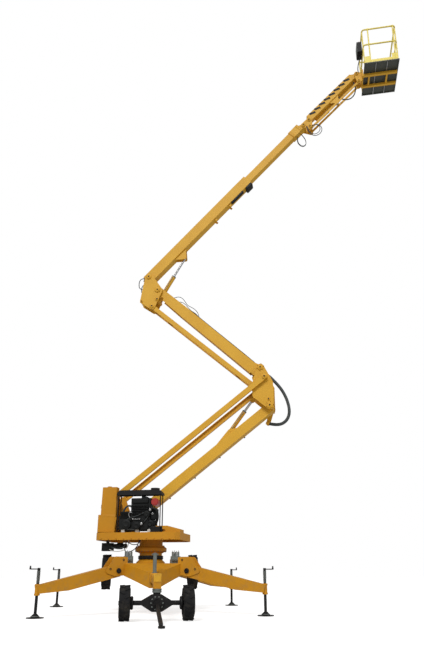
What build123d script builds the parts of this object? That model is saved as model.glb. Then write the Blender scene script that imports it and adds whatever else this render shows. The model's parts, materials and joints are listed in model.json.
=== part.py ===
from build123d import *
import os
from math import cos, radians, sin, sqrt, tan

# Towable boom lift. Millimetres, +Z up, origin on the floor under the slew axis.
# -Y is the towing end and +X the right-hand side as seen from that end.
# The boom lies in one upright plane, whose points are written as (reach, height).

# Pins and angles of the boom
boom_yaw = -18.0
lower_pivot = (-650.0, 1630.0)
lower_length, lower_angle = 4150.0, 38.0
link_offset = (-95.0, 640.0)
elbow_step = (-185.0, 880.0)
mid_length, mid_angle = 3250.0, 41.5
mid_link_offset = (-125.0, -420.0)
bracket_step = (-225.0, 370.0)
upper_angle = 46.0
base_length, base_tail = 3620.0, 90.0
fly_root, fly_tip = 1660.0, 5500.0
head_reach, head_drop = 5576.0, -56.0
knuckle_step = (145.0, 138.0)
jib_length, jib_angle = 1800.0, 45.0
jib_link_offset = (45.0, -235.0)

# Sections of the boom members
lower_width, lower_depth = 220.0, 215.0
mid_width, mid_depth, mid_sag = 200.0, 250.0, 96.0
base_width, base_depth = 200.0, 250.0
fly_width, fly_depth = 160.0, 180.0
jib_width, jib_low, jib_top = 130.0, -25.0, 155.0
tube_wall = 8.0
link_gap, link_width, link_depth = 250.0, 60.0, 115.0
mid_link_gap, mid_link_width, mid_link_depth = 85.0, 40.0, 100.0
jib_link_gap, jib_link_width, jib_link_depth = 72.0, 20.0, 50.0
fork_length = 900.0
elbow_gap, bracket_gap, knuckle_gap = 225.0, 130.0, 100.0
plate = 15.0
pin_radius, pin_play, side_play = 30.0, 0.5, 3.0
boss_radius = 62.0

# Chassis, wheels and outriggers
frame_low, frame_high, frame_half, frame_rear = 690.0, 920.0, 545.0, 1080.0
nose_reach, nose_low, nose_high, nose_half = 1700.0, 480.0, 745.0, 85.0
ring_radius, ring_height = 330.0, 1262.0
hinge_x, hinge_y, hinge_z = 700.0, 1036.0, 780.0
arm_yaw, arm_slope, arm_reach = 29.0, 13.0, 1525.0
arm_width, arm_depth, arm_tip_depth = 170.0, 220.0, 140.0
jack_radius, leg_radius, foot_radius = 42.0, 26.0, 150.0
rear_axle_y, rear_axle_z, rear_track = 145.0, 760.0, 1810.0
front_axle_y, front_track = -2700.0, 1040.0
rear_tyre, rear_tyre_width = 350.0, 195.0
front_tyre, front_tyre_width = 280.0, 185.0

# Turntable and basket
deck_left, deck_right, deck_half = -1035.0, 740.0, 600.0
deck_low, deck_high = 1380.0, 1530.0
bay_inner, bay_outer = 325.0, 590.0
roof_height, roof_deep = 2385.0, 100.0
cabinet_high = 2470.0
basket_length, basket_half, basket_height = 850.0, 535.0, 1103.0
basket_step, basket_drop = 167.0, -110.0
rail_radius = 19.0

boom_side = Vector(sin(radians(boom_yaw)), -cos(radians(boom_yaw)), 0)
boom_plane = Plane(origin=(0, 0, 0), x_dir=(cos(radians(boom_yaw)), sin(radians(boom_yaw)), 0),
                   z_dir=boom_side)


def shifted(pin, step):
    return (pin[0] + step[0], pin[1] + step[1])


def along(pin, angle, reach, rise=0.0):
    turn = radians(angle)
    return (pin[0] + reach * cos(turn) - rise * sin(turn), pin[1] + reach * sin(turn) + rise * cos(turn))


def at(pin, side=0.0):
    """A point of the boom plane in space; side is measured towards the front of the machine."""
    return boom_plane.from_local_coords(Vector(pin[0], pin[1], side))


def member_plane(pin, angle):
    """A plane at a pin with x along the member, y to its upper side and z to the front."""
    turn = radians(angle)
    return Plane(origin=at(pin), x_dir=boom_plane.x_dir * cos(turn) + Vector(0, 0, sin(turn)), z_dir=boom_side)


def block(plane, xs, ys, zs, mode=Mode.ADD):
    """A straight block between the given limits of a plane's own axes."""
    with BuildSketch(plane.offset(zs[0])) as profile:
        with Locations(((xs[0] + xs[1]) / 2, (ys[0] + ys[1]) / 2)):
            Rectangle(xs[1] - xs[0], ys[1] - ys[0])
    extrude(profile.sketch, amount=zs[1] - zs[0], mode=mode)


def slab(plane, outline, zs, mode=Mode.ADD):
    """A flat piece with straight edges through the outline's points."""
    with BuildSketch(plane.offset(zs[0])) as profile:
        with BuildLine():
            Polyline(*outline, close=True)
        make_face()
    extrude(profile.sketch, amount=zs[1] - zs[0], mode=mode)


def web(plane, discs, zs, mode=Mode.ADD):
    """A plate wrapped around discs, each given as (x, y, radius)."""
    with BuildSketch(plane.offset(zs[0])) as profile:
        for x, y, radius in discs:
            with Locations((x, y)):
                Circle(radius)
        make_hull()
    extrude(profile.sketch, amount=zs[1] - zs[0], mode=mode)


def twin_web(plane, discs, gap, thick):
    """The same plate on both sides of the plane, with the given gap to its middle."""
    for low in (gap, -gap - thick):
        web(plane, discs, (low, low + thick))


def shaft(start, end, radius, mode=Mode.ADD):
    """A round bar between two points in space."""
    line = Vector(*end) - Vector(*start)
    with BuildSketch(Plane(origin=start, z_dir=line)) as profile:
        Circle(radius)
    extrude(profile.sketch, amount=line.length, mode=mode)


def cross_shaft(pin, half, radius, mode=Mode.ADD):
    """A round bar square to the boom plane, through a pin."""
    shaft(at(pin, -half), at(pin, half), radius, mode)


def pin_ends(pin, gap):
    """The two ends of a rod's pin in a pair of lugs, clear of the eye between them."""
    for low in (eye_half + 4, -gap - lug_plate - 6):
        shaft(at(pin, low), at(pin, low + gap + lug_plate + 2 - eye_half), eye_pin)


def fittings(route, depth, radius):
    """Round end fittings of a hose, from inside its carrier out to the hose's two ends."""
    for tip, inner in ((route[0], route[1]), (route[-1], route[-2])):
        back = (tip - inner).normalized() * depth
        shaft(tip + back, tip, radius)


def box_tube(plane, xs, ys, width):
    """A square tube along a plane's x axis, open at both ends."""
    block(plane, xs, ys, (-width / 2, width / 2))
    inner = width / 2 - tube_wall
    block(plane, (xs[0] - 1, xs[1] + 1), (ys[0] + tube_wall, ys[1] - tube_wall), (-inner, inner), Mode.SUBTRACT)


def finish(piece, name):
    piece.part.label = name
    export_step(piece.part, f"parts/{name}.step")


os.makedirs("parts", exist_ok=True)

lower_elbow = along(lower_pivot, lower_angle, lower_length)
link_pivot = shifted(lower_pivot, link_offset)
link_elbow = shifted(lower_elbow, link_offset)
mid_pivot = shifted(lower_elbow, elbow_step)
mid_top = along(mid_pivot, 180 - mid_angle, mid_length)
mid_link_pivot = shifted(mid_pivot, mid_link_offset)
mid_link_top = shifted(mid_top, mid_link_offset)
upper_pivot = shifted(mid_top, bracket_step)
head_pin = along(upper_pivot, upper_angle, head_reach, head_drop)
jib_pivot = shifted(head_pin, knuckle_step)
jib_tip = along(jib_pivot, jib_angle, jib_length)
jib_link_pivot = shifted(jib_pivot, jib_link_offset)
jib_link_tip = shifted(jib_tip, jib_link_offset)
basket_left = jib_tip[0] + basket_step
basket_floor = jib_tip[1] + basket_drop

lower_plane = member_plane(lower_pivot, lower_angle)
link_plane = member_plane(link_pivot, lower_angle)
mid_plane = member_plane(mid_top, -mid_angle)
mid_link_plane = member_plane(mid_link_top, -mid_angle)
upper_plane = member_plane(upper_pivot, upper_angle)
jib_plane = member_plane(jib_pivot, jib_angle)
jib_link_plane = member_plane(jib_link_pivot, jib_angle)

# Hydraulic cylinders. Columns: name, base pin, rod pin, base pin radius, barrel radius, rod radius,
# barrel length, start of the rod inside the barrel
lift_reach, luff_drop = lower_length - 1020, 248.0
lift_base = along(lower_pivot, lower_angle, lift_reach, lower_depth / 2 + 57)
lift_eye = shifted(lower_elbow, (-405, 185))
mid_lift_base = shifted(lower_elbow, (-20, 145))
mid_lift_eye = shifted(mid_pivot, (-165, -175))
luff_base = shifted(mid_top, (0, -luff_drop))
luff_eye = along(upper_pivot, upper_angle, 953, -279)
master_base = shifted(mid_top, (-385, -280))
master_eye = along(upper_pivot, upper_angle, -80, 80)
jib_lift_base = shifted(jib_pivot, (15, -190))
jib_lift_eye = along(jib_pivot, jib_angle, 900, -170)
cylinders = (
    ("lower", lift_base, lift_eye, 14.0, 45.0, 28.0, 560.0, 300.0),
    ("mid", mid_lift_base, mid_lift_eye, 16.0, 40.0, 25.0, 480.0, 250.0),
    ("upper", luff_base, luff_eye, 30.0, 50.0, 24.0, 740.0, 515.0),
    ("level", master_base, master_eye, 14.0, 34.0, 14.0, 300.0, 150.0),
    ("jib", jib_lift_base, jib_lift_eye, 14.0, 28.0, 16.0, 680.0, 480.0),
)
eye_half, lug_gap, lug_plate, lift_gap, luff_gap = 30.0, 33.0, 12.0, 49.0, 55.0
eye_wall, eye_pin, barrel_end = 14.0, 10.0, 40.0

# Routes of the hoses that hang in loops, as points in space
root_side = knuckle_gap + plate + 20
elbow_route = tuple(at(shifted(lower_elbow, step), 25 - elbow_gap) for step in (
    (-30, 806), (180, 585), (340, 295), (410, -5), (365, -210), (230, -325), (70, -335), (-50, -305)))
head_route = tuple(at(shifted(head_pin, step)) for step in (
    (-168, -270), (-178, -350), (-164, -450), (-98, -550), (-10, -575), (45, -500), (32, -375), (-22, -262),
    (-70, -187)))
root_route = tuple(at(shifted(jib_pivot, step), root_side) for step in (
    (-70, -212), (-55, -318), (5, -443), (110, -533), (235, -503), (310, -398), (300, -273), (215, -188), (125, -188),
    (70, -223)))
tip_route = tuple(at(along(jib_pivot, jib_angle, *step)) for step in (
    (1045, -60), (1048, -165), (1090, -275), (1180, -345), (1290, -355), (1400, -318), (1500, -250), (1585, -160),
    (1640, -60)))

# Chassis frame: an open box with a sloping nose and a pair of plates at each corner
with BuildPart() as nose_core:
    slab(Plane.XY, ((frame_half - 10, -850), (frame_half - 10, -1034), (nose_half - 8, -nose_reach + 14),
                    (-nose_half + 8, -nose_reach + 14), (-frame_half + 10, -1034), (-frame_half + 10, -850)),
         (300, 1100))
    slab(Plane.YZ, ((-850, 300), (-850, frame_high - 12), (-1042, frame_high - 12), (-nose_reach, nose_high - 12),
                    (-nose_reach, 300)), (-frame_half, frame_half), Mode.INTERSECT)

with BuildPart() as nose:
    slab(Plane.XY, ((frame_half, -895), (frame_half, -1040), (nose_half, -nose_reach),
                    (-nose_half, -nose_reach), (-frame_half, -1040), (-frame_half, -895)), (300, 1100))
    slab(Plane.YZ, ((-895, frame_low), (-895, frame_high), (-1040, frame_high), (-nose_reach, nose_high),
                    (-nose_reach, nose_low), (-1040, frame_low)), (-frame_half, frame_half), Mode.INTERSECT)

corners = (("front_left", -1, -1), ("front_right", 1, -1), ("rear_left", -1, 1), ("rear_right", 1, 1))
arm_planes = {}
for corner, side, end in corners:
    out = Vector(side * cos(radians(arm_yaw)), end * sin(radians(arm_yaw)), 0)
    slope = radians(arm_slope)
    arm_planes[corner] = Plane(origin=(side * hinge_x, end * hinge_y, hinge_z),
                               x_dir=out * cos(slope) - Vector(0, 0, sin(slope)), z_dir=out.cross(Vector(0, 0, 1)))
bracket_half = arm_width / 2 + 6

with BuildPart() as chassis_frame:
    block(Plane.XY, (-frame_half, frame_half), (-900, frame_rear), (frame_low, frame_high))
    add(nose.part)
    for arm_plane in arm_planes.values():
        bracket_plane = Plane(origin=arm_plane.origin, x_dir=(arm_plane.x_dir.X, arm_plane.x_dir.Y, 0),
                              z_dir=arm_plane.z_dir)
        for low in (bracket_half, -bracket_half - 12):
            web(bracket_plane, ((215, -5, 45), (60, 215, 45), (-130, 215, 45), (-150, -40, 40), (60, -45, 55)),
                (low, low + 12))
        block(bracket_plane, (-190, -150), (-80, 250), (-bracket_half - 12, bracket_half + 12))
        shaft(arm_plane.from_local_coords((0, 0, -bracket_half - 24)),
              arm_plane.from_local_coords((0, 0, bracket_half + 24)), pin_radius)
    block(Plane.XY, (-frame_half + 10, frame_half - 10), (-860, frame_rear - 10), (600, frame_high - 12),
          Mode.SUBTRACT)
    add(nose_core.part, mode=Mode.SUBTRACT)
    for wall in (-880, -480, 468):
        block(Plane.XY, (-frame_half + 5, frame_half - 5), (wall, wall + 12), (frame_low + 3, frame_high - 6))
finish(chassis_frame, "chassis_frame")

# Slew pedestal: a waisted drum with a wide ring flange
with BuildPart() as slew_pedestal:
    with BuildSketch(Plane.XZ):
        with BuildLine():
            Polyline((200, frame_high), (300, frame_high), (300, frame_high + 30), (235, frame_high + 90),
                     (235, 1130), (ring_radius, 1175), (ring_radius, 1235), (290, ring_height), (200, ring_height),
                     close=True)
        make_face()
    revolve(axis=Axis.Z)
finish(slew_pedestal, "slew_pedestal")

# Gooseneck from the nose to the king post, and the grey post that stands on it
king_low, king_high = 500.0, 700.0
neck_high, post_y = 735.0, -nose_reach - 80
with BuildPart() as gooseneck:
    slab(Plane.YZ, ((-nose_reach, 620), (-nose_reach, neck_high), (-nose_reach - 200, neck_high),
                    (-nose_reach - 380, 690), (front_axle_y + 140, 670), (front_axle_y + 75, king_high),
                    (front_axle_y - 75, king_high), (front_axle_y - 75, king_low), (front_axle_y + 75, king_low), (front_axle_y + 120, 560),
                    (-nose_reach - 360, 580), (-nose_reach - 150, 620)), (-65, 65))
    shaft((0, front_axle_y, king_low - 1), (0, front_axle_y, king_high - 10), 48 + pin_play, Mode.SUBTRACT)
finish(gooseneck, "gooseneck")

with BuildPart() as lock_post:
    shaft((0, post_y, neck_high), (0, post_y, 1090), 34)
    shaft((0, post_y, neck_high), (0, post_y, neck_high + 18), 52)
    shaft((-60, post_y, 1062), (60, post_y, 1062), 14)
finish(lock_post, "lock_post")

# Stub axles of the rear wheels
wheel_gap = 60.0
with BuildPart() as rear_axle:
    for side in (-1, 1):
        hub = side * (rear_track / 2 - wheel_gap)
        shaft((side * frame_half, rear_axle_y, rear_axle_z), (hub, rear_axle_y, rear_axle_z), 42)
        shaft((hub, rear_axle_y, rear_axle_z), (side * (rear_track / 2 + 20), rear_axle_y, rear_axle_z), pin_radius)
        shaft((side * frame_half, rear_axle_y, rear_axle_z), (side * (frame_half + 20), rear_axle_y, rear_axle_z), 70)
finish(rear_axle, "rear_axle")

with BuildPart() as valve_blocks:
    for side in (-1, 1):
        centre = side * 470
        block(Plane.XY, (centre - 95, centre + 95), (-690, -560), (frame_high, frame_high + 140))
        for shift in (-55, 0, 55):
            shaft((centre + shift, -625, frame_high + 140), (centre + shift, -625, frame_high + 225), 22)
finish(valve_blocks, "valve_blocks")

# Front axle with its differential housing, king post and drawbar ears
axle_z = front_tyre
bar_pin_y, bar_pin_z = front_axle_y - 150, 250.0
with BuildPart() as front_axle:
    web(Plane.XZ.offset(-front_axle_y), ((-265, axle_z, 22), (265, axle_z, 22), (-70, axle_z + 90, 40),
                                         (70, axle_z + 90, 40), (-70, axle_z - 95, 40), (70, axle_z - 95, 40)),
        (-85, 85))
    for half, radius in ((front_track / 2 - wheel_gap, 38), (front_track / 2 + 20, pin_radius)):
        shaft((-half, front_axle_y, axle_z), (half, front_axle_y, axle_z), radius)
    shaft((0, front_axle_y, axle_z), (0, front_axle_y, king_low - 1), 62)
    shaft((0, front_axle_y, axle_z), (0, front_axle_y, king_high - 12), 48)
    for low in (-52, 40):
        web(Plane.YZ, ((front_axle_y - 70, bar_pin_z, 45), (bar_pin_y, bar_pin_z, 35)), (low, low + 12))
    shaft((-60, bar_pin_y, bar_pin_z), (60, bar_pin_y, bar_pin_z), 16)
finish(front_axle, "front_axle")

# Drawbar: a bar from the axle's ears down to a tow eye on the floor
eye_radius, eye_outer, eye_thick, bar_reach = 25.0, 50.0, 30.0, 1250.0
eye_y = bar_pin_y - bar_reach
with BuildPart() as drawbar:
    web(Plane.YZ, ((bar_pin_y, bar_pin_z, 30), (eye_y + 130, 40, 26)), (-28, 28))
    shaft((0, eye_y + 160, 25), (0, eye_y + eye_outer - 10, 25), 24)
    shaft((0, eye_y, 25 - eye_thick / 2), (0, eye_y, 25 + eye_thick / 2), eye_outer)
    shaft((0, eye_y, 0), (0, eye_y, 60), eye_radius, Mode.SUBTRACT)
    shaft((-40, bar_pin_y, bar_pin_z), (40, bar_pin_y, bar_pin_z), 16 + pin_play, Mode.SUBTRACT)
    split(bisect_by=Plane((0, 0, 1), z_dir=(0, 0, 1)), keep=Keep.TOP)
finish(drawbar, "drawbar")

# Wheels. Columns: name, x, y, z, tyre radius, tyre width
wheels = (
    ("front_left", -front_track / 2, front_axle_y, axle_z, front_tyre, front_tyre_width),
    ("front_right", front_track / 2, front_axle_y, axle_z, front_tyre, front_tyre_width),
    ("rear_left", -rear_track / 2, rear_axle_y, rear_axle_z, rear_tyre, rear_tyre_width),
    ("rear_right", rear_track / 2, rear_axle_y, rear_axle_z, rear_tyre, rear_tyre_width),
)
lug_count, lug_height, lug_wide, lug_turn = 12, 16.0, 26.0, 32.0
for name, x, y, z, radius, width in wheels:
    wheel_plane = Plane(origin=(x, y, z), x_dir=(0, 1, 0), z_dir=(1, 0, 0))
    rim_radius, half = radius * 0.56, width / 2
    tread, lug_long = radius - lug_height, half * 0.95
    lug_corner = (lug_wide * cos(radians(lug_turn)) + lug_long * sin(radians(lug_turn))) / 2
    crown = sqrt(radius**2 - lug_corner**2)
    with BuildPart() as tyre:
        with BuildSketch(Plane(origin=(x, y, z), x_dir=(1, 0, 0), z_dir=(0, -1, 0))):
            with BuildLine():
                Polyline((-half * 0.7, rim_radius + 0.3), (-half, radius * 0.78), (-half * 0.82, tread),
                         (half * 0.82, tread), (half, radius * 0.78), (half * 0.7, rim_radius + 0.3), close=True)
            make_face()
        revolve(axis=Axis((x, y, z), (1, 0, 0)))
        for side in (-1, 1):
            with Locations(wheel_plane):
                with PolarLocations(0, lug_count, start_angle=side * 90 / lug_count):
                    with Locations(Location(((crown + tread) / 2 - 5, 0, side * half * 0.46),
                                            (side * lug_turn, 0, 0))):
                        Box(crown - tread + 10, lug_wide, lug_long)
    finish(tyre, f"tyre_{name}")
    with BuildPart() as rim:
        with BuildSketch(Plane(origin=(x, y, z), x_dir=(1, 0, 0), z_dir=(0, -1, 0))):
            with BuildLine():
                Polyline((-half * 0.7, rim_radius), (half * 0.7, rim_radius), (half * 0.7, rim_radius - 16),
                         (10, rim_radius - 30), (10, 75), (45, 70), (45, pin_radius + pin_play),
                         (-45, pin_radius + pin_play), (-45, 70), (-8, 75), (-8, rim_radius - 30),
                         (-half * 0.7, rim_radius - 16), close=True)
            make_face()
        revolve(axis=Axis((x, y, z), (1, 0, 0)))
    finish(rim, f"rim_{name}")

# Outriggers: a hinged arm with a sleeve at its tip, and the jack's screw with its crank and foot
tip = arm_reach / cos(radians(arm_slope))
tip_z = hinge_z - arm_reach * tan(radians(arm_slope))
foot_thick, crank_rise = 14.0, 400.0
for corner, side, end in corners:
    arm_plane = arm_planes[corner]
    jack = arm_plane.from_local_coords((tip, 0, 0))
    top_edge, low_edge = arm_depth / 2, -arm_depth / 2
    tip_low = top_edge - arm_tip_depth
    kink = tip * 0.65
    half = arm_width / 2
    with BuildPart() as outrigger:
        slab(arm_plane, ((-75, low_edge + 50), (-75, top_edge - 50), (-30, top_edge), (tip, top_edge),
                         (tip, tip_low), (kink, low_edge), (-30, low_edge)), (-half, half))
        slab(arm_plane, ((-90, low_edge + 8), (-90, top_edge - 8), (tip - 60, top_edge - 8),
                         (tip - 60, tip_low + 8), (kink, low_edge + 8)), (-half + 6, half - 6), Mode.SUBTRACT)
        shaft(arm_plane.from_local_coords((0, 0, -half)), arm_plane.from_local_coords((0, 0, half)), 48)
        shaft(arm_plane.from_local_coords((0, 0, -half - 1)), arm_plane.from_local_coords((0, 0, half + 1)),
              pin_radius + pin_play, Mode.SUBTRACT)
        shaft((jack.X, jack.Y, tip_z - 60), (jack.X, jack.Y, tip_z + 130), jack_radius)
        shaft((jack.X, jack.Y, tip_z - 90), (jack.X, jack.Y, tip_z + 140), leg_radius + pin_play, Mode.SUBTRACT)
    finish(outrigger, f"outrigger_{corner}")
    with BuildPart() as leg:
        shaft((jack.X, jack.Y, foot_thick), (jack.X, jack.Y, tip_z + crank_rise), leg_radius)
        crank, crank_z = arm_plane.x_dir * 170, tip_z + crank_rise - 20
        shaft((jack.X, jack.Y, crank_z), (jack.X + crank.X, jack.Y + crank.Y, crank_z), 9)
        shaft((jack.X, jack.Y, 0), (jack.X, jack.Y, foot_thick), foot_radius)
        with Locations((jack.X, jack.Y, foot_thick + 30)):
            Cone(90, leg_radius + 6, 60)
    finish(leg, f"jack_{corner}")

# Turntable deck: a tray with a skirt, the slew ring's upper half and a raised box at its right end
ledge, box_high = 90.0, 1660.0
deck_outline = ((deck_left + ledge, -deck_half), (deck_right - ledge, -deck_half), (deck_right, -deck_half + ledge),
                (deck_right, deck_half - ledge), (deck_right - ledge, deck_half), (deck_left + ledge, deck_half),
                (deck_left, deck_half - ledge), (deck_left, -deck_half + ledge))
turn_plane = Plane(origin=(0, 0, 0), x_dir=boom_plane.x_dir, z_dir=(0, 0, 1))
with BuildPart() as deck:
    slab(turn_plane, deck_outline, (deck_low, deck_high))
    slab(turn_plane, tuple((x * (1 - 10 / abs(deck_right)), y * (1 - 10 / deck_half)) for x, y in deck_outline),
         (deck_low - 1, deck_high - 12), Mode.SUBTRACT)
    shaft((0, 0, ring_height + pin_play), (0, 0, deck_high - 12), 245)
    shaft((0, 0, ring_height), (0, 0, deck_high - 12), 215, Mode.SUBTRACT)
    shaft((0, 0, ring_height + pin_play), (0, 0, ring_height + 25), 285)
    shaft((0, 0, ring_height), (0, 0, ring_height + 26), 215, Mode.SUBTRACT)
    slab(boom_plane, ((230, deck_high), (230, box_high), (470, box_high), (deck_right - 4, 1590),
                      (deck_right - 4, deck_high)), (140, deck_half - ledge - 4))
    block(boom_plane, (245, 430), (deck_high + 12, deck_high + 60), (deck_half - ledge - 40, deck_half - ledge),
          Mode.SUBTRACT)
    block(boom_plane, (lower_pivot[0] - 120, lower_pivot[0] + 330), (deck_high - 13, deck_high + 1), (-130, 130),
          Mode.SUBTRACT)
finish(deck, "turntable_deck")

# Tower: the two side plates that carry the lower boom and its links
with BuildPart() as tower:
    twin_web(boom_plane, ((*lower_pivot, 100), (*link_pivot, 75), (deck_left + 160, deck_high + 15, 15),
                          (lower_pivot[0] + 260, deck_high + 15, 15)), elbow_gap, plate)
    block(boom_plane, (deck_left + 215, deck_left + 230), (deck_high + 3, link_pivot[1] - 420),
          (-elbow_gap - 5, elbow_gap + 5))
    cross_shaft(lower_pivot, elbow_gap + plate + 8, pin_radius)
    for low in (elbow_gap + plate, -link_gap - link_width - 8):
        shaft(at(link_pivot, low), at(link_pivot, low + link_width + link_gap - elbow_gap - plate + 8), pin_radius)
finish(tower, "tower")

# Cabinet at the left of the deck, tapered and flared at its foot
with BuildPart() as cabinet:
    slab(boom_plane, ((deck_left + 10, deck_high), (deck_left + 10, deck_high + 60),
                      (deck_left + 40, deck_high + 110), (deck_left + 60, 1900), (deck_left + 75, cabinet_high), (deck_left + 385, cabinet_high),
                      (deck_left + 385, deck_high)), (bay_inner, bay_outer - 95))
    block(boom_plane, (deck_left + 95, deck_left + 375), (deck_high - 1, cabinet_high - 12),
          (bay_inner + 10, bay_outer - 105), Mode.SUBTRACT)
    shaft(at((deck_left + 200, cabinet_high - 5), 410), at((deck_left + 200, cabinet_high + 22), 410), 45)
finish(cabinet, "cabinet")

# Engine: block, head, radiator, pulleys and mounts in one cluster
bay_left, bay_right = deck_left + 425, 350.0
head_right = 100.0
with BuildPart() as engine:
    block(boom_plane, (bay_left + 40, 60), (deck_high + 60, 1860), (260, 520))
    block(boom_plane, (bay_left + 300, head_right), (1860, 2225), (330, 520))
    block(boom_plane, (bay_left + 70, bay_left + 280), (1860, 1960), (340, 480))
    block(boom_plane, (60, 195), (deck_high + 80, 1780), (260, 480))
    for spot, height, radius in ((-390, 1700, 95), (-170, 1660, 75), (40, 1895, 60)):
        shaft(at((spot, height), 515), at((spot, height), 560), radius)
    for spot in (-470, -170, 90):
        block(boom_plane, (spot - 30, spot + 30), (deck_high, deck_high + 85), (400, 470))
finish(engine, "engine")

filter_pin = (head_right + 100, 2140.0)
with BuildPart() as air_filter:
    shaft(at(filter_pin, 330), at(filter_pin, 540), 78)
    shaft(at(filter_pin, 540), at(filter_pin, 556), 60)
    block(boom_plane, (head_right, head_right + 50), (2110, 2170), (360, 420))
finish(air_filter, "air_filter")

# Canopy: a pressed roof on four posts. Columns of the posts: reach, side, foot
roof_low = roof_height - roof_deep
post_near, post_far = bay_outer - 46, bay_inner + 26
roof_posts = ((bay_left + 24, post_near, deck_high), (bay_left + 24, post_far, deck_high),
              (bay_right - 30, post_near, deck_high), (bay_right - 30, post_far, box_high))
with BuildPart() as canopy:
    slab(boom_plane, ((bay_left, roof_low), (bay_left, roof_height - 45), (bay_left + 45, roof_height),
                      (bay_right - 60, roof_height), (bay_right, roof_height - 55), (bay_right, roof_low)),
         (bay_inner, bay_outer - 20))
    block(boom_plane, (bay_left + 10, bay_right - 10), (roof_low - 1, roof_height - 60),
          (bay_inner + 10, bay_outer - 30), Mode.SUBTRACT)
    shaft(at((bay_right - 170, roof_height - 5), 450), at((bay_right - 170, roof_height + 45), 450), 95)
    for reach, side, foot in roof_posts:
        shaft(at((reach, foot), side), at((reach, roof_height - 55), side), 11)
finish(canopy, "canopy")

with BuildPart() as pump_unit:
    block(boom_plane, (deck_left + 100, deck_left + 320), (1170, 1330), (300, 440))
    block(boom_plane, (deck_left + 180, deck_left + 230), (1330, deck_high - 12), (340, 400))
    shaft(at((deck_left + 320, 1270), 370), at((-420, 1270), 370), 45)
    shaft(at((deck_left + 420, 1270), 370), at((deck_left + 520, 1270), 370), 66)
finish(pump_unit, "pump_unit")

# Lower boom: a box tube with a cross tube at each pin and two plates for its lift cylinder
lower_low, lower_top = -lower_depth / 2, lower_depth / 2
boss_half = elbow_gap - side_play
with BuildPart() as lower_boom:
    box_tube(lower_plane, (30, lower_length - 60), (lower_low, lower_top), lower_width)
    for pin in (lower_pivot, lower_elbow):
        cross_shaft(pin, boss_half, boss_radius)
    block(lower_plane, (0, 60), (-70, 70), (-lower_width / 2, lower_width / 2))
    block(lower_plane, (lower_length - 130, lower_length), (lower_low, 62), (-lower_width / 2, lower_width / 2))
    for pin in (lower_pivot, lower_elbow):
        cross_shaft(pin, elbow_gap, pin_radius + pin_play, Mode.SUBTRACT)
    twin_web(lower_plane, ((lift_reach, lower_top + 57, 45), (lift_reach - 430, lower_top - 5, 14),
                           (lift_reach + 170, lower_top - 5, 14)), lift_gap, lug_plate)
    cross_shaft(lift_base, lift_gap + lug_plate + 8, 14)
finish(lower_boom, "lower_boom")

with BuildPart() as lower_links:
    for low in (link_gap, -link_gap - link_width):
        web(link_plane, ((0, 0, link_depth / 2), (lower_length, 0, link_depth / 2)), (low, low + link_width))
        inside = (low - 1, low + link_width - tube_wall) if low > 0 else (low + tube_wall, low + link_width + 1)
        block(link_plane, (90, lower_length - 90), (tube_wall - link_depth / 2, link_depth / 2 - tube_wall), inside,
              Mode.SUBTRACT)
    for pin in (link_pivot, link_elbow):
        cross_shaft(pin, link_gap + link_width + 1, pin_radius + pin_play, Mode.SUBTRACT)
finish(lower_links, "lower_links")

# Elbow: two plates that carry the lower boom, the links and the middle boom
with BuildPart() as elbow:
    twin_web(boom_plane, ((*lower_elbow, 85), (lower_elbow[0] + 35, lower_elbow[1] + 520, 50), (*mid_pivot, 82),
                          (*mid_link_pivot, 75), (lower_elbow[0] - 330, lower_elbow[1] + 230, 40)), elbow_gap, plate)
    for pin in (lower_elbow, mid_pivot):
        cross_shaft(pin, elbow_gap + plate + 8, pin_radius)
    for low in (mid_link_gap - 4, -elbow_gap - plate - 8):
        shaft(at(mid_link_pivot, low), at(mid_link_pivot, low + elbow_gap + plate + 12 - mid_link_gap), pin_radius)
    for low in (elbow_gap + plate, -link_gap - link_width - 8):
        shaft(at(link_elbow, low), at(link_elbow, low + link_width + link_gap - elbow_gap - plate + 8), pin_radius)
    cross_shaft(mid_lift_base, elbow_gap + plate + 8, 16)
    twin_web(boom_plane, ((*lift_eye, 42), (lift_eye[0] + 130, lift_eye[1] + 60, 30)), lug_gap, lug_plate)
    for low in (lug_gap, -elbow_gap):
        block(boom_plane, (lift_eye[0] + 80, lift_eye[0] + 95), (lift_eye[1] + 10, lift_eye[1] + 95),
              (low, low + elbow_gap - lug_gap))
    for high, low in (((*mid_pivot, 50), (mid_pivot[0] + 125, mid_pivot[1] - 45, 40)),
                      ((*lower_elbow, 60), (lower_elbow[0] - 80, lower_elbow[1] - 295, 45))):
        web(boom_plane, (high, low), (-elbow_gap - plate, -elbow_gap))
    fittings(elbow_route, 80, 30)
    pin_ends(lift_eye, lug_gap)
finish(elbow, "elbow")

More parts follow.
